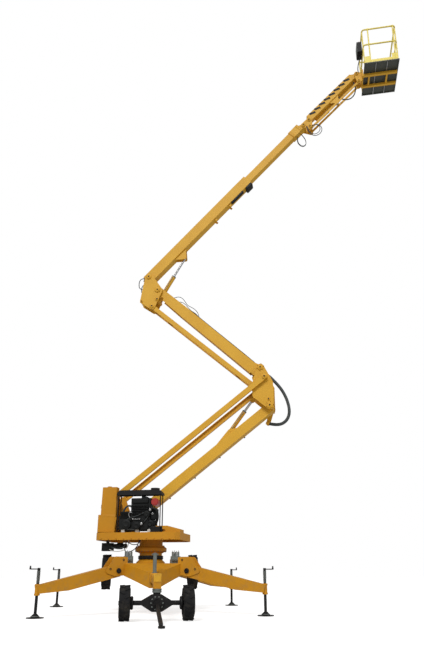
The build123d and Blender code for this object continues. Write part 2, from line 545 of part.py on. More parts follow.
# Middle boom: a box tube that ends in an open fork, with a lug for its lower pin
mid_tail = mid_sag / mid_length
with BuildPart() as mid_boom:
    tube_plane = Plane(origin=mid_plane.origin, x_dir=mid_plane.x_dir - mid_plane.y_dir * mid_tail, z_dir=boom_side)
    box_tube(tube_plane, (fork_length, mid_length - 130), (-mid_depth / 2, mid_depth / 2), mid_width)
    for low in (mid_width / 2 - 12, -mid_width / 2):
        web(tube_plane, ((0, 0, 105), (fork_length, mid_depth / 2 - 10, 10), (fork_length, -mid_depth / 2 + 10, 10)),
            (low, low + 12))
        web(mid_plane, ((mid_length, 0, 80), (mid_length - 260, 20, 10), (mid_length - 60, -150, 60),
                        (mid_length - 260, -150, 10)), (low, low + 12))
    relief = tuple((*along((0, 0), mid_angle - 90 + swing, luff_drop), pin_radius + 8) for swing in (0, 12, 24))
    web(mid_plane, relief, (-mid_width / 2 - 1, mid_width / 2 + 1), Mode.SUBTRACT)
    cross_shaft(mid_pivot, boss_half, boss_radius)
    cross_shaft(mid_pivot, elbow_gap, pin_radius + pin_play, Mode.SUBTRACT)
    for low in (bracket_gap - 50, -bracket_gap + side_play):
        shaft(at(mid_top, low), at(mid_top, low + 50 - side_play), boss_radius)
    cross_shaft(mid_top, bracket_gap, pin_radius + pin_play, Mode.SUBTRACT)
    twin_web(boom_plane, ((*mid_lift_eye, 42), (*mid_pivot, boss_radius)), lug_gap, lug_plate)
    cross_shaft(mid_pivot, elbow_gap, pin_radius + pin_play, Mode.SUBTRACT)
    pin_ends(mid_lift_eye, lug_gap)
finish(mid_boom, "mid_boom")

with BuildPart() as mid_link:
    for low in (mid_link_gap, -mid_link_gap - mid_link_width):
        web(mid_link_plane, ((0, 0, mid_link_depth / 2), (mid_length, 0, mid_link_depth / 2)),
            (low, low + mid_link_width))
        inside = (low - 1, low + mid_link_width - tube_wall) if low > 0 else (low + tube_wall, 1 - mid_link_gap)
        block(mid_link_plane, (80, mid_length - 80), (tube_wall - mid_link_depth / 2, mid_link_depth / 2 - tube_wall),
              inside, Mode.SUBTRACT)
    for reach in (500, mid_length - 600):
        block(mid_link_plane, (reach, reach + 60), (-30, 30), (-mid_link_gap - 36, mid_link_gap + 36))
    for pin in (mid_link_pivot, mid_link_top):
        cross_shaft(pin, elbow_gap, pin_radius + pin_play, Mode.SUBTRACT)
finish(mid_link, "mid_link")

# Upper bracket: two plates between the middle and upper booms
with BuildPart() as upper_bracket:
    twin_web(boom_plane, ((*upper_pivot, 92), (mid_top[0] + 25, mid_top[1] - 20, 95), (*mid_link_top, 80),
                          (mid_top[0] - 285, mid_top[1] - 160, 78), (*master_base, 42)), bracket_gap, plate)
    for pin in (upper_pivot, mid_link_top, luff_base):
        cross_shaft(pin, bracket_gap + plate + 8, pin_radius)
    for low in (bracket_gap - 50, -bracket_gap - plate - 8):
        shaft(at(mid_top, low), at(mid_top, low + 50 + plate + 8), pin_radius)
    cross_shaft(master_base, bracket_gap + plate + 8, 14)
finish(upper_bracket, "upper_bracket")

# Upper boom: the base section with its lug and wear pads
base_top, base_low = base_depth / 2, -base_depth / 2
with BuildPart() as upper_boom:
    box_tube(upper_plane, (-base_tail, base_length - base_tail), (base_low, base_top), base_width)
    pad_start, pad_end = base_length - base_tail - 180, base_length - base_tail
    fly_side, fly_top = fly_width / 2 + 0.5, fly_depth / 2 + 0.5
    inner_side, inner_top = base_width / 2 - tube_wall, base_top - tube_wall
    for sign in (1, -1):
        ys = sorted((sign * fly_top, sign * (inner_top + 1)))
        block(upper_plane, (pad_start, pad_end), ys, (-60, 60))
        zs = sorted((sign * fly_side, sign * (inner_side + 1)))
        block(upper_plane, (pad_start, pad_end), (-60, 60), zs)
    for low in (base_width / 2, -bracket_gap + side_play):
        shaft(at(upper_pivot, low), at(upper_pivot, low + bracket_gap - side_play - base_width / 2), boss_radius)
    cross_shaft(upper_pivot, bracket_gap, pin_radius + pin_play, Mode.SUBTRACT)
    twin_web(upper_plane, ((953, -279, 45), (760, base_low + 9, 14), (1140, base_low + 9, 14)), luff_gap, lug_plate)
    twin_web(upper_plane, ((-80, 80, 40), (-40, 80, 40)), lug_gap, lug_plate)
    for low in (base_low - 1, base_top - tube_wall - 1):
        block(upper_plane, (-base_tail - 1, -20), (low, low + 60), (-lug_gap, lug_gap), Mode.SUBTRACT)
    pin_ends(luff_eye, luff_gap)
    pin_ends(master_eye, lug_gap)
finish(upper_boom, "upper_boom")

# Telescopic section with the head that carries the knuckle
with BuildPart() as fly_boom:
    box_tube(upper_plane, (fly_root, fly_tip), (-fly_depth / 2, fly_depth / 2), fly_width)
    block(upper_plane, (fly_tip - 330, fly_tip), (-fly_depth / 2 - 16, fly_depth / 2 + 16),
          (-fly_width / 2 - 12, fly_width / 2 + 12))
    web(upper_plane, ((head_reach, head_drop, 60), (fly_tip - 40, -70, 30), (fly_tip - 40, 20, 30)),
        (-knuckle_gap + side_play, knuckle_gap - side_play))
    cross_shaft(head_pin, knuckle_gap, pin_radius + pin_play, Mode.SUBTRACT)
    fittings(head_route, 60, 12)
finish(fly_boom, "fly_boom")

# Knuckle between the boom head and the jib
with BuildPart() as knuckle:
    twin_web(boom_plane, ((*head_pin, 62), (*jib_pivot, 62), (*jib_link_pivot, 50), (*jib_lift_base, 42)),
             knuckle_gap, plate)
    for pin in (head_pin, jib_pivot):
        cross_shaft(pin, knuckle_gap + plate + 8, pin_radius)
    for low in (jib_link_gap - 4, -knuckle_gap - plate - 8):
        shaft(at(jib_link_pivot, low), at(jib_link_pivot, low + knuckle_gap + plate + 12 - jib_link_gap), 20)
    cross_shaft(jib_lift_base, knuckle_gap + plate + 8, 14)
    fittings(root_route, 42, 13)
    for step in ((-74, -190), (50, -236)):
        clip = shifted(jib_pivot, step)
        shaft(at(clip, knuckle_gap + plate - 3), at(clip, root_side), 12)
finish(knuckle, "knuckle")

with BuildPart() as jib:
    box_tube(jib_plane, (80, jib_length - 80), (jib_low, jib_top), jib_width)
    for reach, inner in ((0, 110), (jib_length, jib_length - 110)):
        web(jib_plane, ((reach, 0, 44), (inner, jib_top - 21, 20), (inner, jib_low + 21, 20)),
            (-jib_width / 2 + 1, jib_width / 2 - 1))
        cross_shaft(along(jib_pivot, jib_angle, reach), knuckle_gap - side_play, 45)
    for pin in (jib_pivot, jib_tip):
        cross_shaft(pin, knuckle_gap, pin_radius + pin_play, Mode.SUBTRACT)
    twin_web(jib_plane, ((900, -170, 36), (740, jib_low + 15, 12), (1060, jib_low + 15, 12)), lug_gap, lug_plate)
    pin_ends(jib_lift_eye, lug_gap)
    block(jib_plane, (200, jib_length - 120), (jib_low - 55, jib_low + 3), (-jib_width / 2, -jib_width / 2 + 20))
    fittings(tip_route, 45, 13)
finish(jib, "jib")

with BuildPart() as jib_links:
    for low in (jib_link_gap, -jib_link_gap - jib_link_width):
        web(jib_link_plane, ((0, 0, jib_link_depth / 2), (jib_length, 0, jib_link_depth / 2)),
            (low, low + jib_link_width))
    for pin in (jib_link_pivot, jib_link_tip):
        cross_shaft(pin, knuckle_gap, 20 + pin_play, Mode.SUBTRACT)
finish(jib_links, "jib_links")

# Basket mount: plates at the jib's tip and two fork beams under the floor
beam_side, beam_width, beam_depth = 180.0, 60.0, 60.0
floor_thick, rib = 25.0, 24.0
floor_low = basket_floor - floor_thick
with BuildPart() as basket_mount:
    twin_web(boom_plane, ((*jib_tip, 60), (*jib_link_tip, 48), (basket_left - 30, jib_tip[1] - 20, 30),
                          (basket_left - 30, floor_low - 60, 30)), knuckle_gap, plate)
    cross_shaft(jib_tip, knuckle_gap + plate + 8, pin_radius)
    for low in (jib_link_gap - 4, -knuckle_gap - plate - 8):
        shaft(at(jib_link_tip, low), at(jib_link_tip, low + knuckle_gap + plate + 12 - jib_link_gap), 20)
    block(boom_plane, (basket_left - 40, basket_left - 5), (floor_low - beam_depth, jib_tip[1] + 20),
          (-beam_side - beam_width / 2, beam_side + beam_width / 2))
    for side in (-beam_side, beam_side):
        block(boom_plane, (basket_left - 40, basket_left + basket_length - 20), (floor_low - beam_depth, floor_low),
              (side - beam_width / 2, side + beam_width / 2))
    for reach in (120, 560):
        block(boom_plane, (basket_left + reach, basket_left + reach + 40), (floor_low - 40, floor_low),
              (-beam_side, beam_side))
finish(basket_mount, "basket_mount")

with BuildPart() as floor:
    block(boom_plane, (basket_left, basket_left + basket_length), (floor_low, basket_floor),
          (-basket_half, basket_half))
    cell_long, cell_wide = (basket_length - 4 * rib) / 3, (2 * basket_half - 4 * rib) / 3
    for row in range(3):
        for column in range(3):
            cell_left = basket_left + rib + row * (cell_long + rib)
            cell_near = -basket_half + rib + column * (cell_wide + rib)
            block(boom_plane, (cell_left, cell_left + cell_long), (floor_low - 1, basket_floor - 5),
                  (cell_near, cell_near + cell_wide), Mode.SUBTRACT)
finish(floor, "basket_floor")

# Guard rails: kick plates, posts, middle and top rails
kick_high, mid_rail, kick_wall = 95.0, 590.0, 6.0
rail_top = basket_floor + basket_height - rail_radius
left, right = basket_left + rail_radius, basket_left + basket_length - rail_radius
near, far = basket_half - rail_radius, -basket_half + rail_radius
posts = ((left, near - 60), (left, far + 60), (right, near - 60), (right, far + 60), (left + 140, near),
         (left + 140, far), (right - 60, near), (right - 60, far))
bend = 60.0
with BuildPart() as rails:
    for height in (basket_floor + mid_rail, rail_top):
        rail_plane = Plane(origin=at((0, height)), x_dir=boom_plane.x_dir, z_dir=(0, 0, 1))
        with BuildSketch(rail_plane) as loop:
            with Locations(((left + right) / 2, 0)):
                RectangleRounded(right - left, near - far, bend)
        ring = loop.sketch.face().outer_wire()
        with BuildSketch(Plane(origin=ring @ 0, z_dir=ring % 0)) as section:
            Circle(rail_radius)
        sweep(section.sketch, path=ring)
    for reach, side in posts:
        shaft(at((reach, basket_floor), side), at((reach, rail_top), side), rail_radius - 3)
    for side in (near, far):
        block(boom_plane, (left, right), (basket_floor, basket_floor + kick_high),
              (side - kick_wall / 2, side + kick_wall / 2))
    for reach in (left, right):
        block(boom_plane, (reach - kick_wall / 2, reach + kick_wall / 2), (basket_floor, basket_floor + kick_high),
              (far, near))
finish(rails, "basket_rails")

box_deep = 120.0
with BuildPart() as control_box:
    block(boom_plane, (basket_left - box_deep, basket_left), (basket_floor + mid_rail - 30, basket_floor + mid_rail + 280), (90, 370))
finish(control_box, "control_box")

# Cylinders: a barrel on its base pin and a rod that ends in an eye at its own pin
for name, base, eye, base_pin, barrel_radius, rod_radius, barrel_length, rod_start in cylinders:
    start, end = at(base), at(eye)
    line = (end - start).normalized()
    with BuildPart() as barrel:
        cross_shaft(base, barrel_radius + 2, barrel_radius - 2)
        shaft(start, start + line * barrel_length, barrel_radius)
        shaft(start + line * barrel_end, start + line * (barrel_length + 1), rod_radius + pin_play, Mode.SUBTRACT)
        cross_shaft(base, barrel_radius + 5, base_pin + pin_play, Mode.SUBTRACT)
    finish(barrel, f"{name}_barrel")
    with BuildPart() as rod:
        shaft(start + line * rod_start, end, rod_radius)
        cross_shaft(eye, eye_half, eye_pin + eye_wall)
        cross_shaft(eye, eye_half + 2, eye_pin)
    finish(rod, f"{name}_rod")

# Hoses: plain tubes with the widest bends that their runs allow. Columns: name, diameter, route
hoses = (
    ("elbow_hose", 45.0, elbow_route),
    ("head_hose", 16.0, head_route),
    ("root_hose", 18.0, root_route),
    ("tip_hose", 18.0, tip_route),
)
for name, diameter, route in hoses:
    runs = [after - before for before, after in zip(route, route[1:])]
    bends = [0.45 * min(run.length, after.length) / tan(radians(run.get_angle(after)) / 2)
             for run, after in zip(runs, runs[1:])]
    with BuildPart() as tube:
        with BuildLine() as path:
            FilletPolyline(*route, radius=bends)
        with BuildSketch(Plane(origin=route[0], z_dir=runs[0])):
            Circle(diameter / 2)
        sweep(path=path.line)
    print(name, "radii", [round(bend) for bend in bends], "length", round(path.wire().length))
    finish(tube, name)
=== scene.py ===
import json
import math
import bpy
from mathutils import Matrix, Vector


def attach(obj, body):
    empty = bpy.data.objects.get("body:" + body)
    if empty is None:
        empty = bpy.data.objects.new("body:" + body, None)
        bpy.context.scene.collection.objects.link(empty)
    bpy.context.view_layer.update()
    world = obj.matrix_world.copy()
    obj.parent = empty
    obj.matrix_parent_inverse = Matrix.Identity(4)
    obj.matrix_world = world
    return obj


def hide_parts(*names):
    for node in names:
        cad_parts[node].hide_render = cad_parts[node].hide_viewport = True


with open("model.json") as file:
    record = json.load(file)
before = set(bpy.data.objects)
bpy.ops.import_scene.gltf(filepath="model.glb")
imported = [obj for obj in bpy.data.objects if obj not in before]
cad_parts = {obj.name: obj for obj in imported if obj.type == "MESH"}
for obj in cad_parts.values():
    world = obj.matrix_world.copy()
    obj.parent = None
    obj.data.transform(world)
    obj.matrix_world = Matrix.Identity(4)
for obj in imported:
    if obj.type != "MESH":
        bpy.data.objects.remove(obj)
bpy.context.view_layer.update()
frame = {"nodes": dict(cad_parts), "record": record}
nodes = frame["nodes"]
scene = bpy.context.scene
scene.view_settings.view_transform = "Standard"
print("stage: frame loaded", len(nodes), "nodes")

# camera as in the photo: low, in front of the tow bar, looking up
shot = {"place": (-0.577, -13.04, 0.76), "tilt": 108.24, "turn": -8.21, "lens": 32.58, "lift": 0.0789,
        "sensor": 36, "clip": 400}
camData = bpy.data.cameras.new("shotCamera")
camData.lens = shot["lens"]
camData.sensor_width = shot["sensor"]
camData.shift_y = shot["lift"]
camData.clip_end = shot["clip"]
shotCamera = bpy.data.objects.new("shotCamera", camData)
scene.collection.objects.link(shotCamera)
shotCamera.location = shot["place"]
shotCamera.rotation_euler = (math.radians(shot["tilt"]), 0, math.radians(shot["turn"]))
scene.camera = shotCamera

# boom plane: reach, height and side towards the camera, all in metres
worldX, worldY, worldZ = Vector((1, 0, 0)), Vector((0, 1, 0)), Vector((0, 0, 1))
frontOut = -worldY
quarterTurn = math.pi / 2
boomTurn = math.radians(-18.0)
boomAlong = Vector((math.cos(boomTurn), math.sin(boomTurn), 0))
boomSide = Vector((math.sin(boomTurn), -math.cos(boomTurn), 0))


def spot(reach, height, side=0.0):
    return boomAlong * reach + boomSide * side + Vector((0, 0, height))


# light: white studio, big soft key from the front left, weak fill from the right
studio = {"sky": 0.42, "floorSize": 120, "floorTone": (0.60, 0.60, 0.595), "floorRough": 0.9,
          "floorLift": 0.66,
          "keySun": {"strength": 1.75, "tilt": 48, "turn": -28, "spread": 22},
          "fillSun": {"strength": 0.55, "tilt": 62, "turn": 55, "spread": 40}}
world = bpy.data.worlds.new("studioWorld")
scene.world = world
world.use_nodes = True
worldNodes, worldLink = world.node_tree.nodes, world.node_tree.links.new
worldNodes.clear()


def feed(node, values):
    for label, value in values.items():
        node.inputs[label].default_value = value


def whiteSky(strength):
    sky = worldNodes.new("ShaderNodeBackground")
    feed(sky, {"Color": (1, 1, 1, 1), "Strength": strength})
    return sky.outputs[0]


skyMix = worldNodes.new("ShaderNodeMixShader")
worldLink(worldNodes.new("ShaderNodeLightPath").outputs["Is Camera Ray"], skyMix.inputs["Fac"])
worldLink(whiteSky(studio["sky"]), skyMix.inputs[1])  # lights the machine
worldLink(whiteSky(1.0), skyMix.inputs[2])  # what the camera sees
worldLink(skyMix.outputs[0], worldNodes.new("ShaderNodeOutputWorld").inputs["Surface"])


def sunLamp(name, setup):
    data = bpy.data.lights.new(name, "SUN")
    data.energy = setup["strength"]
    data.angle = math.radians(setup["spread"])
    lamp = bpy.data.objects.new(name, data)
    lamp.rotation_euler = (math.radians(setup["tilt"]), 0, math.radians(setup["turn"]))
    scene.collection.objects.link(lamp)


for lampName in ("keySun", "fillSun"):
    sunLamp(lampName, studio[lampName])

bpy.ops.mesh.primitive_plane_add(size=studio["floorSize"], location=(0, 0, 0))
studioFloor = bpy.context.object
studioFloor.name = "studioFloor"
floorMat = bpy.data.materials.new("paleFloor")
floorMat.use_nodes = True
floorNodes, floorLink = floorMat.node_tree.nodes, floorMat.node_tree.links.new
floorShader = floorNodes["Principled BSDF"]
feed(floorShader, {"Base Color": (*studio["floorTone"], 1), "Roughness": studio["floorRough"],
                   "Emission Color": (1, 1, 1, 1)})
floorGlow = floorNodes.new("ShaderNodeMath")  # only the camera sees the glow, it lights nothing
floorGlow.operation = "MULTIPLY"
feed(floorGlow, {1: studio["floorLift"]})
floorLink(floorNodes.new("ShaderNodeLightPath").outputs["Is Camera Ray"], floorGlow.inputs[0])
floorLink(floorGlow.outputs[0], floorShader.inputs["Emission Strength"])
studioFloor.data.materials.append(floorMat)
print("stage: camera, light and floor")

# shared weathering: tone drift, low dust, chips and fine grain for all coated surfaces
# the three blotches have noise scale, detail, roughness, and the ramp's start and end
wear = {"broad": (1.7, 4, 0.55, 0.32, 0.68), "patch": (9.0, 5, 0.55, 0.45, 0.75),
        "speck": (46.0, 6, 0.7, 0.66, 0.72), "grainDetail": 3, "grainRough": 0.55, "dustTop": 1.7,
        "dustFoot": 0.1, "footShare": 0.85, "allOver": 0.15, "dustMatt": 0.35, "grainMatt": 0.12,
        "chipDepth": 0.8, "coatRough": 0.12}
wearColors = {"Tone": (0.6, 0.3, 0.03, 1), "Second": (0.5, 0.25, 0.02, 1), "Dirt": (0.2, 0.17, 0.13, 1),
              "Chip": (0.05, 0.04, 0.035, 1)}
wearValues = {"Drift": 0.5, "Dust": 0.3, "Chips": 0.2, "Grain": 60.0, "Rough": 0.35}


def weatherGroup():
    tree = bpy.data.node_groups.new("coatWeather", "ShaderNodeTree")
    face = tree.interface
    face.new_socket("Vector", in_out="INPUT", socket_type="NodeSocketVector")
    for label, value in wearColors.items():
        face.new_socket(label, in_out="INPUT", socket_type="NodeSocketColor").default_value = value
    for label, value in wearValues.items():
        face.new_socket(label, in_out="INPUT", socket_type="NodeSocketFloat").default_value = value
    for label, kind in (("Color", "Color"), ("Roughness", "Float"), ("Height", "Float")):
        face.new_socket(label, in_out="OUTPUT", socket_type="NodeSocket" + kind)
    n, link = tree.nodes, tree.links.new
    given = n.new("NodeGroupInput").outputs
    result = n.new("NodeGroupOutput").inputs

    def noise(detail, rough):
        node = n.new("ShaderNodeTexNoise")
        feed(node, {"Detail": detail, "Roughness": rough})
        link(given["Vector"], node.inputs["Vector"])
        return node

    def ramp(value, start, end):
        node = n.new("ShaderNodeMapRange")
        node.interpolation_type = "SMOOTHSTEP"
        feed(node, {"From Min": start, "From Max": end})
        link(value, node.inputs["Value"])
        return node.outputs["Result"]

    def blotch(label):
        scale, detail, rough, start, end = wear[label]
        node = noise(detail, rough)
        feed(node, {"Scale": scale})
        return ramp(node.outputs["Fac"], start, end)

    def maths(kind, a, b):
        node = n.new("ShaderNodeMath")
        node.operation = kind
        for socket, v in zip(node.inputs, (a, b)):
            if isinstance(v, (int, float)):
                socket.default_value = v
            else:
                link(v, socket)
        return node.outputs[0]

    def mixed(fac, a, b):
        node = n.new("ShaderNodeMix")
        node.data_type = "RGBA"
        link(fac, node.inputs[0])
        link(a, node.inputs[6])
        link(b, node.inputs[7])
        return node.outputs[2]

    split = n.new("ShaderNodeSeparateXYZ")
    link(given["Vector"], split.inputs[0])
    broad, patch, speck = blotch("broad"), blotch("patch"), blotch("speck")
    fineNoise = noise(wear["grainDetail"], wear["grainRough"])
    link(given["Grain"], fineNoise.inputs["Scale"])
    fine = fineNoise.outputs["Fac"]
    low = ramp(split.outputs["Z"], wear["dustTop"], wear["dustFoot"])
    settled = maths("ADD", maths("MULTIPLY", low, wear["footShare"]), wear["allOver"])
    dust = maths("MULTIPLY", maths("MULTIPLY", settled, patch), given["Dust"])
    chips = maths("MULTIPLY", maths("MULTIPLY", speck, patch), given["Chips"])
    color = mixed(maths("MULTIPLY", broad, given["Drift"]), given["Tone"], given["Second"])
    color = mixed(dust, color, given["Dirt"])
    color = mixed(chips, color, given["Chip"])
    dustMatt = maths("MULTIPLY", dust, wear["dustMatt"])
    grainMatt = maths("MULTIPLY", maths("SUBTRACT", fine, 0.5), wear["grainMatt"])
    link(color, result["Color"])
    link(maths("ADD", given["Rough"], maths("ADD", dustMatt, grainMatt)), result["Roughness"])
    link(maths("SUBTRACT", fine, maths("MULTIPLY", chips, wear["chipDepth"])), result["Height"])
    return tree


weather = weatherGroup()


def coatedFinish(name, look):
    mat = bpy.data.materials.new(name)
    mat.use_nodes = True
    n, link = mat.node_tree.nodes, mat.node_tree.links.new
    shader = n["Principled BSDF"]
    coord = n.new("ShaderNodeTexCoord")
    coat = n.new("ShaderNodeGroup")
    coat.node_tree = weather
    bump = n.new("ShaderNodeBump")
    link(coord.outputs["Object"], coat.inputs["Vector"])
    feed(coat, {label: (*look[label.lower()], 1) for label in wearColors if label.lower() in look})
    feed(coat, {label: look[label.lower()] for label in wearValues})
    link(coat.outputs["Color"], shader.inputs["Base Color"])
    link(coat.outputs["Roughness"], shader.inputs["Roughness"])
    link(coat.outputs["Height"], bump.inputs["Height"])
    feed(bump, {"Distance": look.get("depth", 0.001), "Strength": look["bump"]})
    link(bump.outputs["Normal"], shader.inputs["Normal"])
    feed(shader, {"Metallic": look.get("metal", 0.0), "Coat Weight": look.get("coat", 0.0),
                  "Coat Roughness": wear["coatRough"], "Specular IOR Level": look.get("gloss", 0.5)})
    return mat


paint = {"drift": 0.6, "grain": 40, "rough": 0.52, "bump": 0.05, "depth": 0.0004}
ochreDirt = (0.25, 0.17, 0.08)
finishes = {
    # boom yellow is the deck's yellow paint made lighter: painted light on the booms and the parts fitted to
    # them
    "boomYellow": {**paint, "tone": (0.71, 0.388, 0.029), "second": (0.63, 0.320, 0.019), "dirt": ochreDirt,
                   "dust": 0.3, "chips": 0.25, "gloss": 0.28},
    "deckYellow": {**paint, "tone": (0.59, 0.262, 0.010), "second": (0.505, 0.215, 0.008), "dirt": ochreDirt,
                   "dust": 0.35, "chips": 0.3, "gloss": 0.25},
    "palePaint": {**paint, "tone": (0.92, 0.77, 0.19), "second": (0.86, 0.67, 0.13), "drift": 0.5,
                  "dust": 0.2, "chips": 0.15, "rough": 0.5, "gloss": 0.3},
    "chassisBlack": {"tone": (0.009, 0.009, 0.010), "second": (0.016, 0.015, 0.014),
                     "dirt": (0.07, 0.06, 0.045), "chip": (0.08, 0.055, 0.04), "drift": 0.6, "dust": 0.25,
                     "chips": 0.4, "grain": 80, "rough": 0.5, "bump": 0.12, "gloss": 0.2},
    "engineDark": {"tone": (0.0045, 0.005, 0.0052), "second": (0.010, 0.0115, 0.0115),
                   "dirt": (0.08, 0.07, 0.05), "chip": (0.12, 0.11, 0.10), "drift": 0.9, "dust": 0.4,
                   "chips": 0.3, "grain": 90, "rough": 0.55, "bump": 0.2, "gloss": 0.2},
    "tyreRubber": {"tone": (0.009, 0.009, 0.010), "second": (0.016, 0.015, 0.014),
                   "dirt": (0.10, 0.085, 0.065), "drift": 0.5, "dust": 0.4, "chips": 0.0, "grain": 130,
                   "rough": 0.8, "bump": 0.3, "gloss": 0.22},
    "rimBlack": {"tone": (0.013, 0.013, 0.014), "second": (0.024, 0.023, 0.022), "dirt": (0.10, 0.085, 0.065),
                 "chip": (0.2, 0.19, 0.18), "drift": 0.5, "dust": 0.4, "chips": 0.4, "grain": 80,
                 "rough": 0.5, "bump": 0.15, "gloss": 0.3},
    "rodChrome": {"tone": (0.62, 0.63, 0.64), "second": (0.50, 0.51, 0.53), "dirt": (0.2, 0.19, 0.17),
                  "drift": 0.4, "dust": 0.1, "chips": 0.0, "grain": 160, "rough": 0.16, "metal": 1.0,
                  "bump": 0.04},
    "castGrey": {"tone": (0.17, 0.19, 0.175), "second": (0.11, 0.125, 0.115), "dirt": (0.16, 0.14, 0.11),
                 "drift": 0.8, "dust": 0.4, "chips": 0.4, "grain": 90, "rough": 0.5, "bump": 0.25},
    "filterRed": {"tone": (0.42, 0.025, 0.02), "second": (0.33, 0.018, 0.015), "drift": 0.5, "dust": 0.2,
                  "chips": 0.2, "grain": 80, "rough": 0.35, "coat": 0.2, "bump": 0.08},
    "hoseRubber": {"tone": (0.030, 0.036, 0.037), "second": (0.055, 0.066, 0.066), "drift": 0.8, "dust": 0.2,
                   "chips": 0.0, "grain": 160, "rough": 0.6, "bump": 0.25},
    "bareSteel": {"tone": (0.42, 0.42, 0.41), "second": (0.30, 0.30, 0.30), "dirt": (0.14, 0.12, 0.10),
                  "drift": 0.7, "dust": 0.3, "chips": 0.3, "grain": 140, "rough": 0.36, "metal": 0.85,
                  "bump": 0.12},
    "paleHose": {"tone": (0.62, 0.62, 0.58), "second": (0.48, 0.47, 0.43), "drift": 0.6, "dust": 0.3,
                 "chips": 0.2, "grain": 110, "rough": 0.5, "bump": 0.12},
    "deckGrating": {"tone": (0.045, 0.052, 0.042), "second": (0.064, 0.064, 0.048), "chip": (0.4, 0.4, 0.38),
                    "drift": 0.6, "dust": 0.3, "chips": 0.3, "grain": 90, "rough": 0.5, "bump": 0.2},
}
mats = {name: coatedFinish(name, look) for name, look in finishes.items()}
print("stage: materials", len(mats))

# paint of the CAD nodes by the start of their names; booms and barrels not listed here get the boom yellow,
# which is the deck's yellow paint made lighter as painted light on the upper parts
nodeFinish = {
    "tyre": "tyreRubber", "rim": "rimBlack", "jack": "chassisBlack", "front_axle": "chassisBlack",
    "drawbar": "chassisBlack", "rear_axle": "chassisBlack", "engine": "engineDark", "canopy": "chassisBlack",
    "pump_unit": "chassisBlack", "control_box": "chassisBlack", "valve_blocks": "castGrey",
    "lock_post": "castGrey", "basket_rails": "palePaint", "basket_floor": "deckGrating",
    "air_filter": "filterRed", "chassis_frame": "deckYellow", "slew_pedestal": "deckYellow",
    "gooseneck": "deckYellow", "outrigger": "deckYellow", "turntable_deck": "deckYellow",
    "tower": "deckYellow", "cabinet": "deckYellow"}
for name, obj in nodes.items():
    finish = {"_rod": "rodChrome", "hose": "hoseRubber"}.get(name[-4:], "boomYellow")
    for start, chosen in nodeFinish.items():
        if name.startswith(start):
            finish = chosen
    obj.data.materials.clear()
    obj.data.materials.append(mats[finish])
print("stage: CAD nodes painted")

# pins of the boom in its own plane, read from the joints
jointRows = {row["name"]: row for row in frame["record"]["behaviour"]["joints"]}


def planePin(name):
    place = Vector(jointRows[name]["pos_m"])
    return Vector((place.dot(boomAlong), place.z))


lowerPin, elbowPin, linkPin = planePin("lower_lift"), planePin("elbow_level"), planePin("lower_links_swing")
midPin, midTop, midLinkPin = planePin("mid_lift"), planePin("bracket_level"), planePin("mid_link_swing")
upperPin, headPin = planePin("upper_lift"), planePin("knuckle_level")
jibPin, jibTip, jibLinkPin = planePin("jib_lift"), planePin("basket_level"), planePin("jib_links_swing")
luffBase, levelBase = planePin("upper_barrel_swing"), planePin("level_barrel_swing")
midBase, jibBase = planePin("mid_barrel_swing"), planePin("jib_barrel_swing")
linkTop, midLinkTop = linkPin + (elbowPin - lowerPin), midLinkPin + (midTop - midPin)
jibLinkTip = jibLinkPin + (jibTip - jibPin)
boomAxis = Vector(jointRows["telescope"]["axis"])
upperAngle = math.atan2(boomAxis.z, boomAxis.dot(boomAlong))


# frames and places
def moved(x, y, z):
    return Matrix.Translation((x, y, z))


def turned(angle, axis):
    return Matrix.Rotation(angle, 4, axis)


def angleTo(start, end):
    return math.atan2(end.y - start.y, end.x - start.x)


def axesFrame(origin, xDir, zDir):
    zDir = zDir.normalized()
    yDir = zDir.cross(xDir).normalized()
    xDir = yDir.cross(zDir)
    return Matrix.Translation(origin) @ Matrix((xDir, yDir, zDir)).transposed().to_4x4()


def memberFrame(pin, angle):
    xDir = boomAlong * math.cos(angle) + Vector((0, 0, math.sin(angle)))
    return axesFrame(spot(pin.x, pin.y), xDir, boomSide)


def bothSides(centre, half, xDir, sideDir):
    return [axesFrame(centre + sideDir * half * sign, xDir, sideDir * sign) for sign in (1, -1)]


def ringSpots(count, radius, start=0.0):
    turns = [math.tau * step / count + start for step in range(count)]
    return [(radius * math.cos(turn), radius * math.sin(turn)) for turn in turns]


def rowOf(piece):
    return [piece["first"] + piece["pitch"] * k for k in range(piece["count"])]


def planeRoute(pin, steps, side):
    return [spot(pin.x + dx, pin.y + dz, side) for dx, dz in steps]


deckFrame = memberFrame(Vector((0, 0)), 0.0)
lowerFrame = memberFrame(lowerPin, angleTo(lowerPin, elbowPin))
midFrame = memberFrame(midTop, angleTo(midTop, midPin))
upperFrame = memberFrame(upperPin, upperAngle)
jibFrame = memberFrame(jibPin, angleTo(jibPin, jibTip))


# modelling steps shared by the pieces
def pick(*chosen):
    bpy.ops.object.select_all(action="DESELECT")
    for obj in chosen:
        obj.select_set(True)
    if chosen:
        bpy.context.view_layer.objects.active = chosen[0]


def editFaces(obj, test):
    pick(obj)
    bpy.ops.object.mode_set(mode="EDIT")
    bpy.ops.mesh.select_mode(type="FACE")
    bpy.ops.mesh.select_all(action="DESELECT")
    bpy.ops.object.mode_set(mode="OBJECT")
    for face in obj.data.polygons:
        face.select = test(face)
    bpy.ops.object.mode_set(mode="EDIT")


def endEdit():
    bpy.ops.object.mode_set(mode="OBJECT")


def topFace(obj):
    high = max(face.center.z for face in obj.data.polygons if face.normal.z > 0.9)
    return lambda face: face.normal.z > 0.9 and face.center.z > high - 1e-5


def pressedPanel(piece):  # size, and press: rim width, depth, rounded edge
    rim, sink, edge = piece["press"]
    pick()
    bpy.ops.mesh.primitive_cube_add(size=1)
    obj = bpy.context.object
    obj.name = piece["name"] + "Model"
    obj.scale = piece["size"]
    bpy.ops.object.transform_apply(scale=True)
    editFaces(obj, lambda face: True)
    bpy.ops.mesh.bevel(offset=edge, segments=2, affect="EDGES")
    endEdit()
    editFaces(obj, topFace(obj))
    bpy.ops.mesh.inset(thickness=rim)
    bpy.ops.mesh.inset(thickness=sink, depth=-sink)
    endEdit()
    return obj


